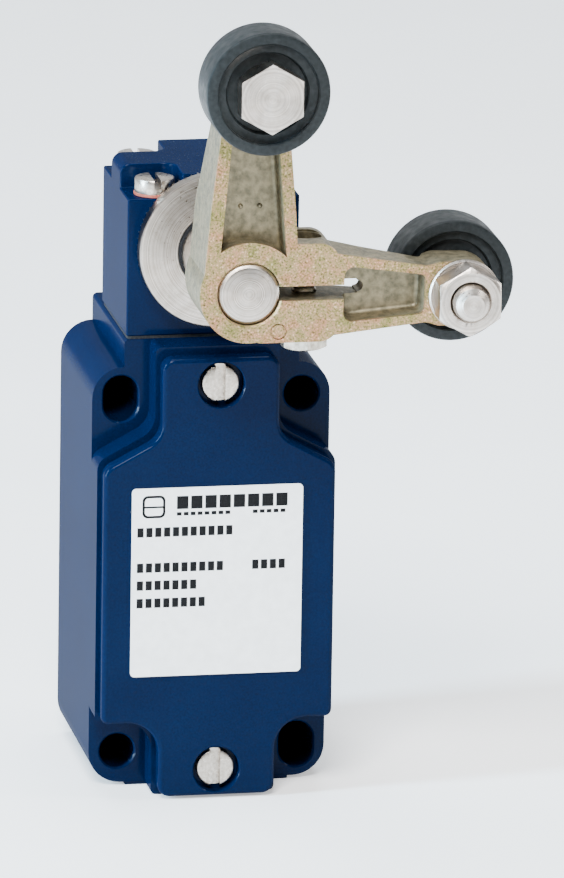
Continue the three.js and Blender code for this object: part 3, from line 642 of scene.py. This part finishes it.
LOOKS = {
    "blue_enamel": enamel(),
    "turned_steel": turned_steel("turned_steel", (0.33, 0.29, 0.25), (0.66, 0.59, 0.53), 0.16),
    "hexagon_steel": plated_steel("hexagon_steel", (0.30, 0.27, 0.22), (0.62, 0.57, 0.49), 0.8),
    "hexagon_face": turned_steel("hexagon_face", (0.44, 0.39, 0.35), (0.66, 0.60, 0.54), 0.35),
    "plated_screw": plated_steel("plated_screw", (0.36, 0.31, 0.26), (0.58, 0.52, 0.455), 0.5),
    "spring_steel": plated_steel("spring_steel", (0.35, 0.35, 0.36), (0.50, 0.50, 0.50), 0.4),
    "chromated_zinc": chromated_zinc(),
    "roller_plastic": roller_plastic(),
    "black_rubber": plain_grain("black_rubber", (0.010, 0.010, 0.011), (0.022, 0.022, 0.024), 0.3, 0.75,
                                gloss=0.1),
    "black_insulator": plain_grain("black_insulator", (0.018, 0.018, 0.020), (0.035, 0.035, 0.038), 0.5, 0.5),
    "label_white": plain_grain("label_white", (0.80, 0.80, 0.79), (0.88, 0.88, 0.87), 1.5, 0.45, 0.0, 0.004),
    "label_ink": plain_grain("label_ink", (0.004, 0.004, 0.004), (0.012, 0.012, 0.013), 0.2, 0.7,
                             depth=0.004, gloss=0.05),
    "red_fibre": plain_grain("red_fibre", (0.20, 0.035, 0.02), (0.36, 0.075, 0.04), 0.25, 0.7),
    "brass": plain_grain("brass", (0.55, 0.40, 0.16), (0.75, 0.57, 0.26), 0.6, 0.32, 1.0),
    "copper_contact": plain_grain("copper_contact", (0.60, 0.30, 0.16), (0.80, 0.46, 0.28), 0.6, 0.35, 1.0),
}

# ---------------------------------------------------------------- case


def round_at(x, z, radius):
    return circle(x, z, radius, HOLE_STEPS)


def slot_at(x, z, radius):
    """A slot's outline; its corners stop just short of the full radius, so that no two points meet."""
    half = SLOT_REACH + radius
    return rectangle(x - radius, x + radius, z - half, z + half, radius - 0.001)


def mounting_holes():
    tools = []
    places = (
        (round_at, HOLE_X, HOLE_Z),
        (round_at, -HOLE_X, -HOLE_Z),
        (slot_at, -HOLE_X, HOLE_Z),
        (slot_at, HOLE_X, -HOLE_Z),
    )
    for outline_at, x, z in places:
        tools.append(slab(outline_at(x, z, HOLE_RADIUS), OVERSHOOT, RIM))
        tools.append(mouth(outline_at, HOLE_RADIUS, EAR_PLANE, -1, x, z, HOLE_FLARE))
        tools.append(mouth(outline_at, HOLE_RADIUS, 0, 1, x, z, HOLE_FLARE))
    return tools


def thread_grooves():
    """The conduit thread, as a row of separate grooves inside the entry."""
    lows = [CASE_LOW.z + THREAD_START + i * THREAD_PITCH for i in range(THREAD_COUNT)]
    radius = CONDUIT_RADIUS + THREAD_DEPTH
    return [rod_z(radius, low, low + THREAD_PITCH * THREAD_SHARE, 0, CONDUIT_Y) for low in lows]


def housing():
    """The case: a body with four ears, a collar under the head, a foot and a raised front for the cover."""
    body = slab(rectangle(-CASE_HALF, CASE_HALF, -CASE_TALL, CASE_TALL, CASE_CORNER), 0, EAR_PLANE)
    collar = slab(rectangle(-COLLAR_HALF, COLLAR_HALF, 0, CASE_HIGH.z, COLLAR_CORNER), 0, EAR_PLANE)
    foot = slab(rectangle(-FOOT_HALF, FOOT_HALF, CASE_LOW.z, FOOT_TOP, FOOT_CORNER),
                -FOOT_INSET, EAR_PLANE + FOOT_INSET)
    raised = slab(bottle(**RAISED), -OVERSHOOT, RIM)
    shell = soften(join(body, collar, foot, raised), CASE_EDGE)
    hollow = slab(bottle(**HOLLOW), FLOOR_Y, RIM - 2 * OVERSHOOT)
    entry = rod_z(CONDUIT_RADIUS, CASE_LOW.z - 2 * OVERSHOOT, CONDUIT_TOP, 0, CONDUIT_Y)
    guide = rod_z(GUIDE_BORE, GUIDE_START, CASE_HIGH.z + 2 * OVERSHOOT, 0, middle("plunger_guide").y)
    cut(shell, hollow, entry, *thread_grooves(), guide, *mounting_holes())
    return finish_piece(shell, "case_casting", "case", LOOKS["blue_enamel"], ("housing",))


def cover():
    """The front cover, with a counterbored hole for each of its two screws."""
    back, front = COVER_HIGH.y, COVER_LOW.y
    plate = soften(slab(bottle(**COVER), back, front), COVER_EDGE)
    tools = []
    for node in ("cover_screw_upper", "cover_screw_lower"):
        place = middle(node)
        tools.append(rod_y(COUNTERBORE, back - COUNTERBORE_DEPTH, front - OVERSHOOT, place.x, place.z))
        tools.append(mouth(round_at, COUNTERBORE, front, -1, place.x, place.z, COUNTERBORE_FLARE))
        tools.append(rod_y(SCREW_HOLE, back + OVERSHOOT, front, place.x, place.z))
    cut(plate, *tools)
    return finish_piece(plate, "front_cover", "case", LOOKS["blue_enamel"], ("cover",))


def cover_seal():
    """The rubber seal between the cover and the raised front."""
    low, high = extent("cover_gasket")
    band = soften(slab(bottle(**COVER_SEAL), high.y, low.y), 0.1, 2)
    return finish_piece(band, "cover_seal", "case", LOOKS["black_rubber"], ("cover_gasket",))


def label_marks():
    """The badge's bar and rows of blocks, as (left, right, top, foot) from the label's top left corner."""
    marks = [(2.0, 5.4, 3.0, 3.3)]
    # Each row: start, top, block height, block width, gap, count.
    rows = [
        (7.4, 1.4, 2.2, 1.9, 0.45, 8),
        (7.4, 4.1, 0.6, 0.8, 0.35, 8),
        (20.0, 4.1, 0.6, 0.8, 0.35, 5),
        (0.9, 6.6, 1.6, 1.05, 0.42, 11),
        (0.9, 12.6, 1.6, 1.05, 0.42, 10),
        (20.0, 12.6, 1.6, 1.05, 0.42, 4),
        (0.9, 15.6, 1.6, 1.05, 0.42, 7),
        (0.9, 18.6, 1.6, 1.05, 0.42, 8),
    ]
    for start, top, tall, wide, gap, count in rows:
        for i in range(count):
            left = start + i * (wide + gap)
            marks.append((left, left + wide, top, top + tall))
    return marks


def badge_outline(inset, corner):
    left, top = LABEL_LOW.x + BADGE_LEFT, LABEL_HIGH.z - BADGE_TOP
    return rectangle(left + inset, left + BADGE_SIZE - inset, top - BADGE_SIZE + inset, top - inset, corner)


def label():
    """A white label with rows of plain blocks in place of print, and a plain outline in place of a badge."""
    low, high = LABEL_LOW, LABEL_HIGH
    corner, ink_room = 0.7, 0.03
    sheet = slab(rectangle(low.x, high.x, low.z, high.z, corner), high.y, low.y + ink_room)
    finish_piece(sheet, "rating_label", "case", LOOKS["label_white"], ("label_plate",))
    shape = bmesh.new()
    ink_back, ink_front = low.y + 0.05, low.y + 0.01
    for x0, x1, z0, z1 in label_marks():
        corners = ((x0, z0), (x1, z0), (x1, z1), (x0, z1))
        add_prism(shape, *[[(low.x + x, y, high.z - z) for x, z in corners] for y in (ink_back, ink_front)])
    print_piece = new_object("label_print", shape)
    finish_piece(print_piece, "label_print", "case", LOOKS["label_ink"])
    badge = slab(badge_outline(0, 0.9), ink_back, ink_front)
    inner = slab(badge_outline(BADGE_LINE, 0.6), low.y + OVERSHOOT, low.y - OVERSHOOT)
    finish_piece(cut(badge, inner), "label_badge", "case", LOOKS["label_ink"])


def slotted_screw(node, name, radius, height, slot_width, along_z):
    """A slotted cheese head and its shank, turned about Y or stood upright."""
    low, high = extent(node)
    place = middle(node)
    length = (high.z - low.z) if along_z else (high.y - low.y)
    crest = SCREW_EDGE * 0.3
    profile = [(0, 0), (radius - SCREW_EDGE, 0), (radius - crest, crest), (radius, SCREW_EDGE),
               (radius, height), (SCREW_SHANK, height), (SCREW_SHANK, length), (0, length)]
    screw = lathe(profile, (0, 0), name)
    slot_outline = rectangle(-slot_width / 2, slot_width / 2, -radius * 2, radius * 2, 0)
    slot = slab(slot_outline, SCREW_SLOT_DEPTH, -OVERSHOOT)
    soften(cut(screw, slot), 0.08, 2)
    if along_z:
        screw.data.transform(Matrix.Rotation(-math.pi / 2, 4, "X"))
        screw.location = (place.x * MM, place.y * MM, high.z * MM)
    else:
        screw.location = (place.x * MM, low.y * MM, place.z * MM)
    return finish_piece(screw, name, "case", LOOKS["plated_screw"], (node,))


# ---------------------------------------------------------------- head


def screw_notch(x, y):
    """Cuts the head's corner away round a screw, open to the side and to the front or the back."""
    side = math.copysign(1, x)
    rear = y > middle("head_housing").y
    face, inward = (HEAD_HIGH.y, -1) if rear else (HEAD_LOW.y, 1)
    outline = rounded([
        (side * NOTCH_INNER, face - inward * NOTCH_REACH, 0),
        (side * NOTCH_INNER, face + inward * NOTCH_DEPTH, NOTCH_CORNER),
        (side * (HEAD_HIGH.x + NOTCH_REACH), face + inward * NOTCH_DEPTH, 0),
        (side * (HEAD_HIGH.x + NOTCH_REACH), face - inward * NOTCH_REACH, 0),
    ])
    if side * inward > 0:
        outline.reverse()
    return upright(outline, HEAD_SEAT, HEAD_HIGH.z + NOTCH_REACH)


def head():
    """The turret head: a block with a notch for each screw and a chamber for the cam."""
    half, top = HEAD_HIGH.x, HEAD_HIGH.z
    outline = rounded(mirrored([(half, HEAD_LOW.z, HEAD_BOTTOM_CORNER), (half, top, HEAD_CORNER)]), 6)
    block = slab(outline, HEAD_HIGH.y, HEAD_LOW.y)
    screws = [middle(f"head_screw_{index}") for index in range(1, 5)]
    block = soften(cut(block, *[screw_notch(place.x, place.y) for place in screws]), HEAD_EDGE, 3, 50)
    low = HEAD_LOW.z - OVERSHOOT
    tools = [rod_z(HEAD_SCREW_HOLE, low, HEAD_SEAT + OVERSHOOT, place.x, place.y) for place in screws]
    tools.append(rod_y(CHAMBER_HALF, CHAMBER_BACK, CHAMBER_FRONT, 0, AXIS_Z))
    tools.append(upright(rectangle(-CHAMBER_HALF, CHAMBER_HALF, CHAMBER_FRONT, CHAMBER_BACK, CHAMBER_CORNER),
                         low, AXIS_Z))
    tools.append(rod_y(SHAFT_HOLE, CHAMBER_FRONT + OVERSHOOT, EAR_PLANE - OVERSHOOT, 0, AXIS_Z))
    cut(block, *tools)
    return finish_piece(block, "turret_head", "case", LOOKS["blue_enamel"], ("head_housing",))


def head_seal():
    """The thin rubber sheet under the head."""
    low, high = extent("head_gasket")
    corner, hole = 0.8, 4.95
    sheet = upright(rectangle(low.x, high.x, low.y, high.y, corner), low.z, high.z)
    guide = middle("plunger_guide")
    cut(sheet, rod_z(hole, low.z - OVERSHOOT, high.z + OVERSHOOT, guide.x, guide.y))
    return finish_piece(sheet, "head_seal", "case", LOOKS["black_rubber"], ("head_gasket",))


def flange():
    """The bearing's steel disc, with a seat for the lip seal in front and a neck into the head behind."""
    low, high = extent("bearing_flange")
    radius = (high.x - low.x) / 2
    front, back = low.y, EAR_PLANE - FLANGE_STANDOFF
    edge, crest, back_edge = 0.5, 0.15, 0.3
    seal, seal_back = SEAL_SEAT, front + SEAL_DEPTH
    profile = [
        (SLEEVE_BORE, seal_back), (seal, seal_back), (seal, front + crest), (seal + crest, front),
        (radius - edge, front), (radius - crest, front + crest), (radius, front + edge),
        (radius, back - back_edge), (radius - back_edge, back),
        (FLANGE_SEAT, back), (FLANGE_SEAT, high.y), (SLEEVE_BORE, high.y),
    ]
    disc = lathe(profile, (0, AXIS_Z), "flange", FLANGE_STEPS)
    look = LOOKS["turned_steel"]
    return finish_piece(disc, "bearing_disc", "case", look, ("bearing_flange",))


def serrations():
    """The index ring behind the disc, with fine teeth all round."""
    low, high = extent("serrated_ring")
    outer = (high.x - low.x) / 2
    outline = []
    for i in range(INDEX_TEETH * 2):
        radius = outer if i % 2 else outer - INDEX_TOOTH
        angle = FULL * i / (INDEX_TEETH * 2)
        outline.append(Vector((radius * math.cos(angle), radius * math.sin(angle) + AXIS_Z)))
    bore = rod_y(INDEX_BORE, high.y + OVERSHOOT, low.y - OVERSHOOT, 0, AXIS_Z)
    toothed = cut(slab(outline, high.y, low.y), bore)
    look = LOOKS["turned_steel"]
    return finish_piece(toothed, "index_ring", "case", look, ("serrated_ring",))


# ---------------------------------------------------------------- shaft and lever


def shaft():
    """The shaft, with a rounded edge on the end that shows in the fork's hub."""
    low, high = extent("shaft")
    radius = (high.x - low.x) / 2
    edge, crest = 0.5, 0.08
    profile = [(0, low.y), (radius - edge * 1.5, low.y), (radius - edge, low.y + crest),
               (radius, low.y + edge), (radius, high.y), (0, high.y)]
    rod = lathe(profile, (0, AXIS_Z), "rod", FINE_STEPS)
    return finish_piece(rod, "lever_shaft", "lever", LOOKS["turned_steel"], ("shaft",))


def sleeve():
    """The spacer between the bearing disc and the fork."""
    low, high = extent("shaft_sleeve")
    radius = (high.x - low.x) / 2
    edge = 0.3
    profile = [(SLEEVE_BORE, low.y), (radius - edge, low.y), (radius, low.y + edge), (radius, high.y - edge),
               (radius - edge, high.y), (SLEEVE_BORE, high.y)]
    tube = lathe(profile, (0, AXIS_Z), "tube", FINE_STEPS)
    look = LOOKS["turned_steel"]
    return finish_piece(tube, "spacer_sleeve", "lever", look, ("shaft_sleeve",))


def about_axis(degrees):
    """Turns a piece drawn along +X from the origin into place on the shaft axis."""
    place = Matrix.Translation((0, 0, AXIS_Z * MM))
    return place @ Matrix.Rotation(-math.radians(degrees), 4, "Y")


def side_slab(outline, half):
    """An outline of (distance, y) carried across the arm from -half to +half."""
    return prism([(p.x, p.y, -half) for p in outline], [(p.x, p.y, half) for p in outline])


def arm(plan, side, degrees):
    """What an arm's plan (distance, offset, radius) and side view (distance, y, radius) have in common."""
    front, back = LEVER_LOW.y - 2 * OVERSHOOT, LEVER_HIGH.y + 2 * OVERSHOOT
    half = 20
    blank = common(slab(rounded(plan), back, front), side_slab(rounded(side), half))
    return turned_to(blank, about_axis(degrees))


def upper_arm():
    """The arm that carries the front roller: thick at the hub, thin and set forward at the tip."""
    front, back = LEVER_LOW.y, LEVER_HIGH.y
    tip = ARM_LENGTH + 5.6
    plan = [(-1, -8.3, 0), (14, -7.0, 0), (30, -5.2, 6), (tip, -5.0, 4.6), (tip, 5.0, 4.6), (30, 5.2, 6),
            (14, 6.7, 0), (-1, 7.6, 0)]
    side = [(-1, front, 0), (45, front, 0), (45, front + 8.7, 0), (29, front + 8.7, 4), (12, back, 4),
            (-1, back, 0)]
    return arm(plan, side, UPPER_ANGLE)


def right_arm():
    """The arm that carries the rear roller, behind its tip."""
    front = LEVER_LOW.y
    tip = ARM_LENGTH + 5.7
    plan = [(-1, -7.6, 0), (14, -6.7, 2), (29, -4.6, 3), (31, -5.2, 2), (tip, -5.2, 5.0), (tip, 5.2, 5.0),
            (31, 5.2, 2), (29, 4.6, 3), (14, 6.7, 2), (-1, 7.6, 0)]
    side = [(-1, front, 0), (45, front, 0), (45, front + 8.2, 0), (29.5, front + 8.2, 0.5),
            (28.6, front + 5.9, 1.0), (19, front + 8.1, 4), (9, front + EAR_DEPTH, 2),
            (-1, front + EAR_DEPTH, 0)]
    return arm(plan, side, RIGHT_ANGLE)


def pocket(corners):
    """A moulded pocket along +X in an arm's front, with drafted walls and a rounded floor."""
    front = LEVER_LOW.y
    outline = rounded(corners)
    centre = sum(outline, Vector((0, 0))) / len(outline)
    foot = [centre + (p - centre) * (1 - POCKET_DRAFT) for p in outline]
    rim = [p + (p - centre) * POCKET_DRAFT for p in outline]
    block = prism(at_depth(foot, front + POCKET_DEPTH), at_depth(rim, front - POCKET_DEPTH))
    return soften(block, POCKET_EDGE, 3, 50)


def ejector_mark(x, z):
    """The shallow ring that an ejector pin leaves in the casting."""
    inner, outer = 1.1, 1.35
    front, depth = LEVER_LOW.y - OVERSHOOT, LEVER_LOW.y + 0.3
    return lathe([(inner, front), (outer, front), (outer, depth), (inner, depth)], (x, z))


def casting_dots():
    """Two small domes on the floor of the upper arm's pocket."""
    floor_y = LEVER_LOW.y + POCKET_DEPTH
    dome = [(0, -0.4), (0.25, -0.32), (0.42, -0.1), (0.42, 0.5), (0, 0.5)]
    profile = [(radius, floor_y + rise) for radius, rise in dome]
    return [lathe(profile, (x, AXIS_Z + DOT_RISE), steps=24) for x in DOT_PLACES]


def fork_lever():
    """The fork: hub, two pocketed arms and the ears that the clamp screw pulls together."""
    front, back = LEVER_LOW.y, LEVER_HIGH.y
    clear = front - OVERSHOOT
    hub = slab(circle(0, AXIS_Z, HUB_RADIUS), back, front)
    ear_outline = rectangle(-1, EAR_END, AXIS_Z - EAR_HALF, AXIS_Z + EAR_HALF, EAR_CORNER)
    ears = slab(ear_outline, front + EAR_DEPTH, front)
    body = soften(join(hub, upper_arm(), right_arm(), ears), LEVER_EDGE, 3, 38)
    keep = slab(circle(0, 0, HUB_RADIUS + 0.5), 0, -100)
    upper_pocket = turned_to(cut(pocket([(4, -6.1, 0), (28, -3.6, 1), (28, 3.6, 1), (4, 5.1, 0)]), keep),
                             about_axis(UPPER_ANGLE))
    right_pocket = turned_to(pocket([(15.4, -4.7, 1.5), (28.7, -3.2, 1), (28.7, 3.2, 1), (15.4, 4.7, 1.5)]),
                             about_axis(RIGHT_ANGLE))
    screw = middle("clamp_screw")
    screw_low, screw_high = AXIS_Z - 20, AXIS_Z + 20
    tools = [
        upper_pocket,
        right_pocket,
        rod_y(BORE, 0, clear, 0, AXIS_Z),
        mouth(round_at, BORE, front, -1, 0, AXIS_Z, BORE_FLARE),
        slab(rectangle(0, CLAMP_SLOT_END, AXIS_Z - CLAMP_SLOT_HALF, AXIS_Z + CLAMP_SLOT_HALF, 0), 0, clear),
        rod_y(CLAMP_SLOT_RELIEF, 0, clear, CLAMP_SLOT_END, AXIS_Z),
        rod_z(CLAMP_HOLE, screw_low, screw_high, screw.x, screw.y),
        rod_z(CLAMP_RELIEF, AXIS_Z + CLAMP_RELIEF_START, screw_high, screw.x, screw.y),
        rod_z(CLAMP_MOUTH, AXIS_Z + CLAMP_MOUTH_START, screw_high, screw.x, screw.y),
        ejector_mark(EJECTOR_X, AXIS_Z + EJECTOR_RISE),
    ]
    for angle in (UPPER_ANGLE, RIGHT_ANGLE):
        turn = math.radians(angle)
        x, z = ARM_LENGTH * math.cos(turn), ARM_LENGTH * math.sin(turn) + AXIS_Z
        tools.append(rod_y(BOLT_HOLE, 0, clear, x, z))
    cut(body, *tools)
    join(body, *casting_dots())
    look = LOOKS["chromated_zinc"]
    return finish_piece(body, "fork_casting", "lever", look, ("fork_lever",))


# ---------------------------------------------------------------- rollers and fasteners


def roller(node, name, body):
    """A moulded roller: rounded tread, stepped recess on both faces and a plain bore."""
    low, high = extent(node)
    centre = middle(node)
    width = high.y - low.y
    radius = (high.x - low.x) / 2
    edge, crest = 0.5, 0.15
    half = [*ROLLER_FACE, (radius - edge, 0.0), (radius - crest, crest), (radius, edge)]
    crown = [(radius, width / 2)]
    far = [(r, width - y) for r, y in reversed(half)]
    wheel = lathe(half + crown + far, (0, 0), name, FINE_STEPS)
    wheel.location = (centre.x * MM, low.y * MM, centre.z * MM)
    return finish_piece(wheel, name, body, LOOKS["roller_plastic"], (node,))


def ring(node, name, inner, edge, slot="turned_steel", body="lever"):
    """A washer, bush or collar turned about Y, with both outer edges broken."""
    low, high = extent(node)
    centre = middle(node)
    outer = (high.x - low.x) / 2
    width = high.y - low.y
    profile = [(inner, 0), (outer - edge, 0), (outer, edge), (outer, width - edge), (outer - edge, width),
               (inner, width)]
    piece = lathe(profile, (0, 0), name)
    piece.location = (centre.x * MM, low.y * MM, centre.z * MM)
    return finish_piece(piece, name, body, LOOKS[slot], (node,))


def hexagon(flats, height, chamfer_near, chamfer_far):
    """A hexagon blank from y = 0 to height; a chamfer of 0 leaves the full hexagon face."""
    corner = flats / math.sqrt(3)
    outline = [Vector((corner * math.sin(FULL * k / 6), corner * math.cos(FULL * k / 6))) for k in range(6)]
    blank = slab(outline, height, 0)
    margin = 0.1
    outer, face = corner + margin, flats / 2 - 0.2
    fall = (outer - face) * math.tan(math.radians(CHAMFER_ANGLE))
    near = [(0, -margin), (outer, -margin)]
    far = [(outer, height + margin), (0, height + margin)]
    if chamfer_near:
        near = [(0, 0), (face, 0), (outer, fall)]
    if chamfer_far:
        far = [(outer, height - fall), (face, height), (0, height)]
    return common(blank, lathe(near + far, (0, 0)))


def threaded(radius, start, end, dished):
    """A threaded stud from y = start to end, as a row of ridges with a chamfered end at y = start."""
    root = radius - STUD_DEPTH
    if dished:
        profile = [(0, start + 0.05), (radius * 0.58, start), (root, start + 0.9)]
    else:
        profile = [(0, start), (root - 0.4, start), (root, start + 0.5)]
    y = profile[-1][1] + 0.1
    while y + STUD_PITCH < end:
        profile += [(root, y), (radius, y + STUD_PITCH * 0.4), (radius, y + STUD_PITCH * 0.55)]
        y += STUD_PITCH
    profile += [(root, y), (radius, end), (0, end)]
    return lathe(profile, (0, 0), "tool", ROD_STEPS)


def turned_round(piece, length):
    """Turns a piece that runs from y = 0 to length end for end, as its mirror image."""
    return turned_to(piece, Matrix.Translation((0, length * MM, 0)) @ Matrix.Scale(-1, 4, (0, 1, 0)))


def bolt(node, name, head_in_front):
    """A hexagon bolt along Y, with its head at one end and thread at the other."""
    low, high = extent(node)
    centre = middle(node)
    length = high.y - low.y
    head = soften(hexagon(BOLT_FLATS, BOLT_HEAD, False, True), 0.12, 2)
    shank = threaded(BOLT_RADIUS, 0, length - BOLT_HEAD + HEAD_LAP, not head_in_front)
    turned_round(shank if head_in_front else head, length)
    piece = join(head, shank)
    piece.location = (centre.x * MM, low.y * MM, centre.z * MM)
    return finish_piece(piece, name, "lever", LOOKS["hexagon_face"], (node,))


def nut(node, name):
    """A hexagon nut along Y, chamfered on both faces."""
    low, high = extent(node)
    centre = middle(node)
    height = high.y - low.y
    margin, flare = 0.1, 0.4
    mouth_radius = 3.5
    hole = lathe([(0, -margin), (mouth_radius, -margin), (BOLT_HOLE, flare), (BOLT_HOLE, height - flare),
                  (mouth_radius, height + margin), (0, height + margin)], (0, 0))
    blank = soften(cut(hexagon(BOLT_FLATS, height, True, True), hole), 0.08, 2, 25)
    blank.location = (centre.x * MM, low.y * MM, centre.z * MM)
    return finish_piece(blank, name, "lever", LOOKS["hexagon_face"], (node,))


def clamp_screw():
    """The clamp screw comes up through the ears from below, with a chamfered hexagon head."""
    low, high = extent("clamp_screw")
    place = middle("clamp_screw")
    length = high.z - low.z
    head = soften(hexagon(CLAMP_FLATS, CLAMP_HEAD, True, True), 0.1, 2, 25)
    stem = turned_round(threaded(CLAMP_RADIUS, 0, length - CLAMP_HEAD + HEAD_LAP / 2, False), length)
    piece = join(head, stem)
    piece.data.transform(Matrix.Rotation(math.pi / 2, 4, "X"))
    piece.location = (place.x * MM, place.y * MM, low.z * MM)
    look = LOOKS["hexagon_steel"]
    return finish_piece(piece, "clamp_bolt", "lever", look, ("clamp_screw",))


def fibre_washer(index):
    """The washer under a head screw, drawn about Y and stood upright."""
    node = f"head_screw_washer_{index}"
    low, high = extent(node)
    place = middle(node)
    outer, thick, edge = (high.x - low.x) / 2, WASHER_THICK, WASHER_EDGE
    profile = [(WASHER_BORE, 0), (outer - edge, 0), (outer, edge), (outer, thick - edge),
               (outer - edge, thick), (WASHER_BORE, thick)]
    piece = lathe(profile, (0, 0), "washer", ROD_STEPS)
    piece.data.transform(Matrix.Rotation(math.pi / 2, 4, "X"))
    piece.location = (place.x * MM, place.y * MM, low.z * MM)
    return finish_piece(piece, f"fibre_washer_{index}", "case", LOOKS["red_fibre"], (node,))


# ---------------------------------------------------------------- assembly

housing()
cover()
cover_seal()
label()
head()
head_seal()
flange()
ring("shaft_seal", "shaft_lip_seal", SLEEVE_BORE, 0.2, "black_rubber", "case")
serrations()
shaft()
sleeve()
fork_lever()
clamp_screw()
for side in ("upper", "lower"):
    slotted_screw(f"cover_screw_{side}", f"cover_fixing_{side}", **COVER_SCREW, along_z=False)
for index in range(1, 5):
    slotted_screw(f"head_screw_{index}", f"head_fixing_{index}", **HEAD_SCREW, along_z=True)
    fibre_washer(index)
for place in ("front", "rear"):
    roller(f"{place}_roller", f"{place}_tyre", f"{place}_wheel")
    ring(f"{place}_roller_bush", f"{place}_wheel_bush", BOLT_HOLE, 0.15)
    bolt(f"{place}_roller_bolt", f"{place}_bolt", place == "front")
    nut(f"{place}_roller_nut", f"{place}_nut")
ring("rear_roller_washer", "rear_washer", BOLT_HOLE, 0.25)

# The pieces inside keep their CAD shape and get the look of their slot.
for node, piece in frame["nodes"].items():
    slot = next(s["material_slot"] for s in frame["record"]["subparts"] if s["node"] == node)
    piece.data.materials.clear()
    piece.data.materials.append(LOOKS[slot])

# ---------------------------------------------------------------- stage


def floor():
    """A pale sweep: a floor that curves up into a wall behind."""
    shape = bmesh.new()
    low = cad_bounds[0][2]
    near, far, radius, high, half = -4.0, 2.0, 1.5, 5.0, 8.0
    profile = [(near, low), (far, low)]
    profile += [(far + radius * math.sin(a), low + radius * (1 - math.cos(a)))
                for a in (math.pi / 2 * k / 24 for k in range(1, 25))]
    profile.append((far + radius, high))
    rows = [[shape.verts.new((x, y, z)) for x in (-half, half)] for y, z in profile]
    for before, after in zip(rows, rows[1:]):
        shape.faces.new((before[0], before[1], after[1], after[0]))
    sweep = new_object("sweep", shape)
    sweep.data.polygons.foreach_set("use_smooth", [True] * len(sweep.data.polygons))
    recipe = Recipe("pale_paper", Roughness=0.9, Emission_Color=(1.0, 1.0, 1.0, 1.0), Emission_Strength=0.45)
    cloud = recipe.noise(60.0, 3.0)
    recipe.use("Base Color", recipe.ramp(cloud, (0.3, (0.86, 0.86, 0.86)), (0.7, (0.9, 0.9, 0.9))))
    sweep.data.materials.append(recipe.material)


def area_light(name, place, aim, size, power, color=(1.0, 1.0, 1.0)):
    lamp = bpy.data.lights.new(name, "AREA")
    lamp.color = color
    lamp.shape = "RECTANGLE"
    lamp.size, lamp.size_y = size
    lamp.energy = power
    holder = bpy.data.objects.new(name, lamp)
    holder.location = place
    holder.rotation_euler = (Vector(aim) - Vector(place)).to_track_quat("-Z", "Y").to_euler()
    bpy.context.scene.collection.objects.link(holder)


def lights():
    world = bpy.data.worlds.new("studio")
    world.use_nodes = True
    world.node_tree.nodes["Background"].inputs["Color"].default_value = (0.95, 0.97, 1.0, 1)
    world.node_tree.nodes["Background"].inputs["Strength"].default_value = 0.25
    bpy.context.scene.world = world
    aim = (0, -0.03, 0.02)
    area_light("front_key", (-0.35, -1.0, 1.1), aim, (0.5, 0.5), 45)
    area_light("left_strip", (-1.1, -0.25, 0.35), aim, (0.15, 0.9), 60, (0.55, 0.80, 1.0))
    area_light("top_soft", (0.0, 0.1, 1.2), aim, (0.6, 0.6), 16, (0.85, 0.93, 1.0))
    area_light("right_strip", (0.9, -0.3, 0.4), aim, (0.12, 0.8), 5)


def camera():
    """The photograph's long-lens view, from the left and above."""
    azimuth, elevation, roll = math.radians(-10.8), math.radians(15.1), math.radians(0.9)
    distance, lens = 1.64, 410
    target = Vector((0.0119, -0.0315, 0.0223))
    back = Vector((math.sin(azimuth) * math.cos(elevation), -math.cos(azimuth) * math.cos(elevation),
                   math.sin(elevation)))
    right = Vector((math.cos(azimuth), math.sin(azimuth), 0))
    up = back.cross(right)
    turned_right = right * math.cos(roll) + up * math.sin(roll)
    turned_up = up * math.cos(roll) - right * math.sin(roll)
    view = bpy.data.cameras.new("camera")
    view.sensor_width = 36
    view.lens = lens
    view.clip_end = 50
    holder = bpy.data.objects.new("camera", view)
    place = target + back * distance
    holder.matrix_world = Matrix((turned_right, turned_up, back)).transposed().to_4x4()
    holder.location = place
    bpy.context.scene.collection.objects.link(holder)
    bpy.context.scene.camera = holder


floor()
lights()
camera()
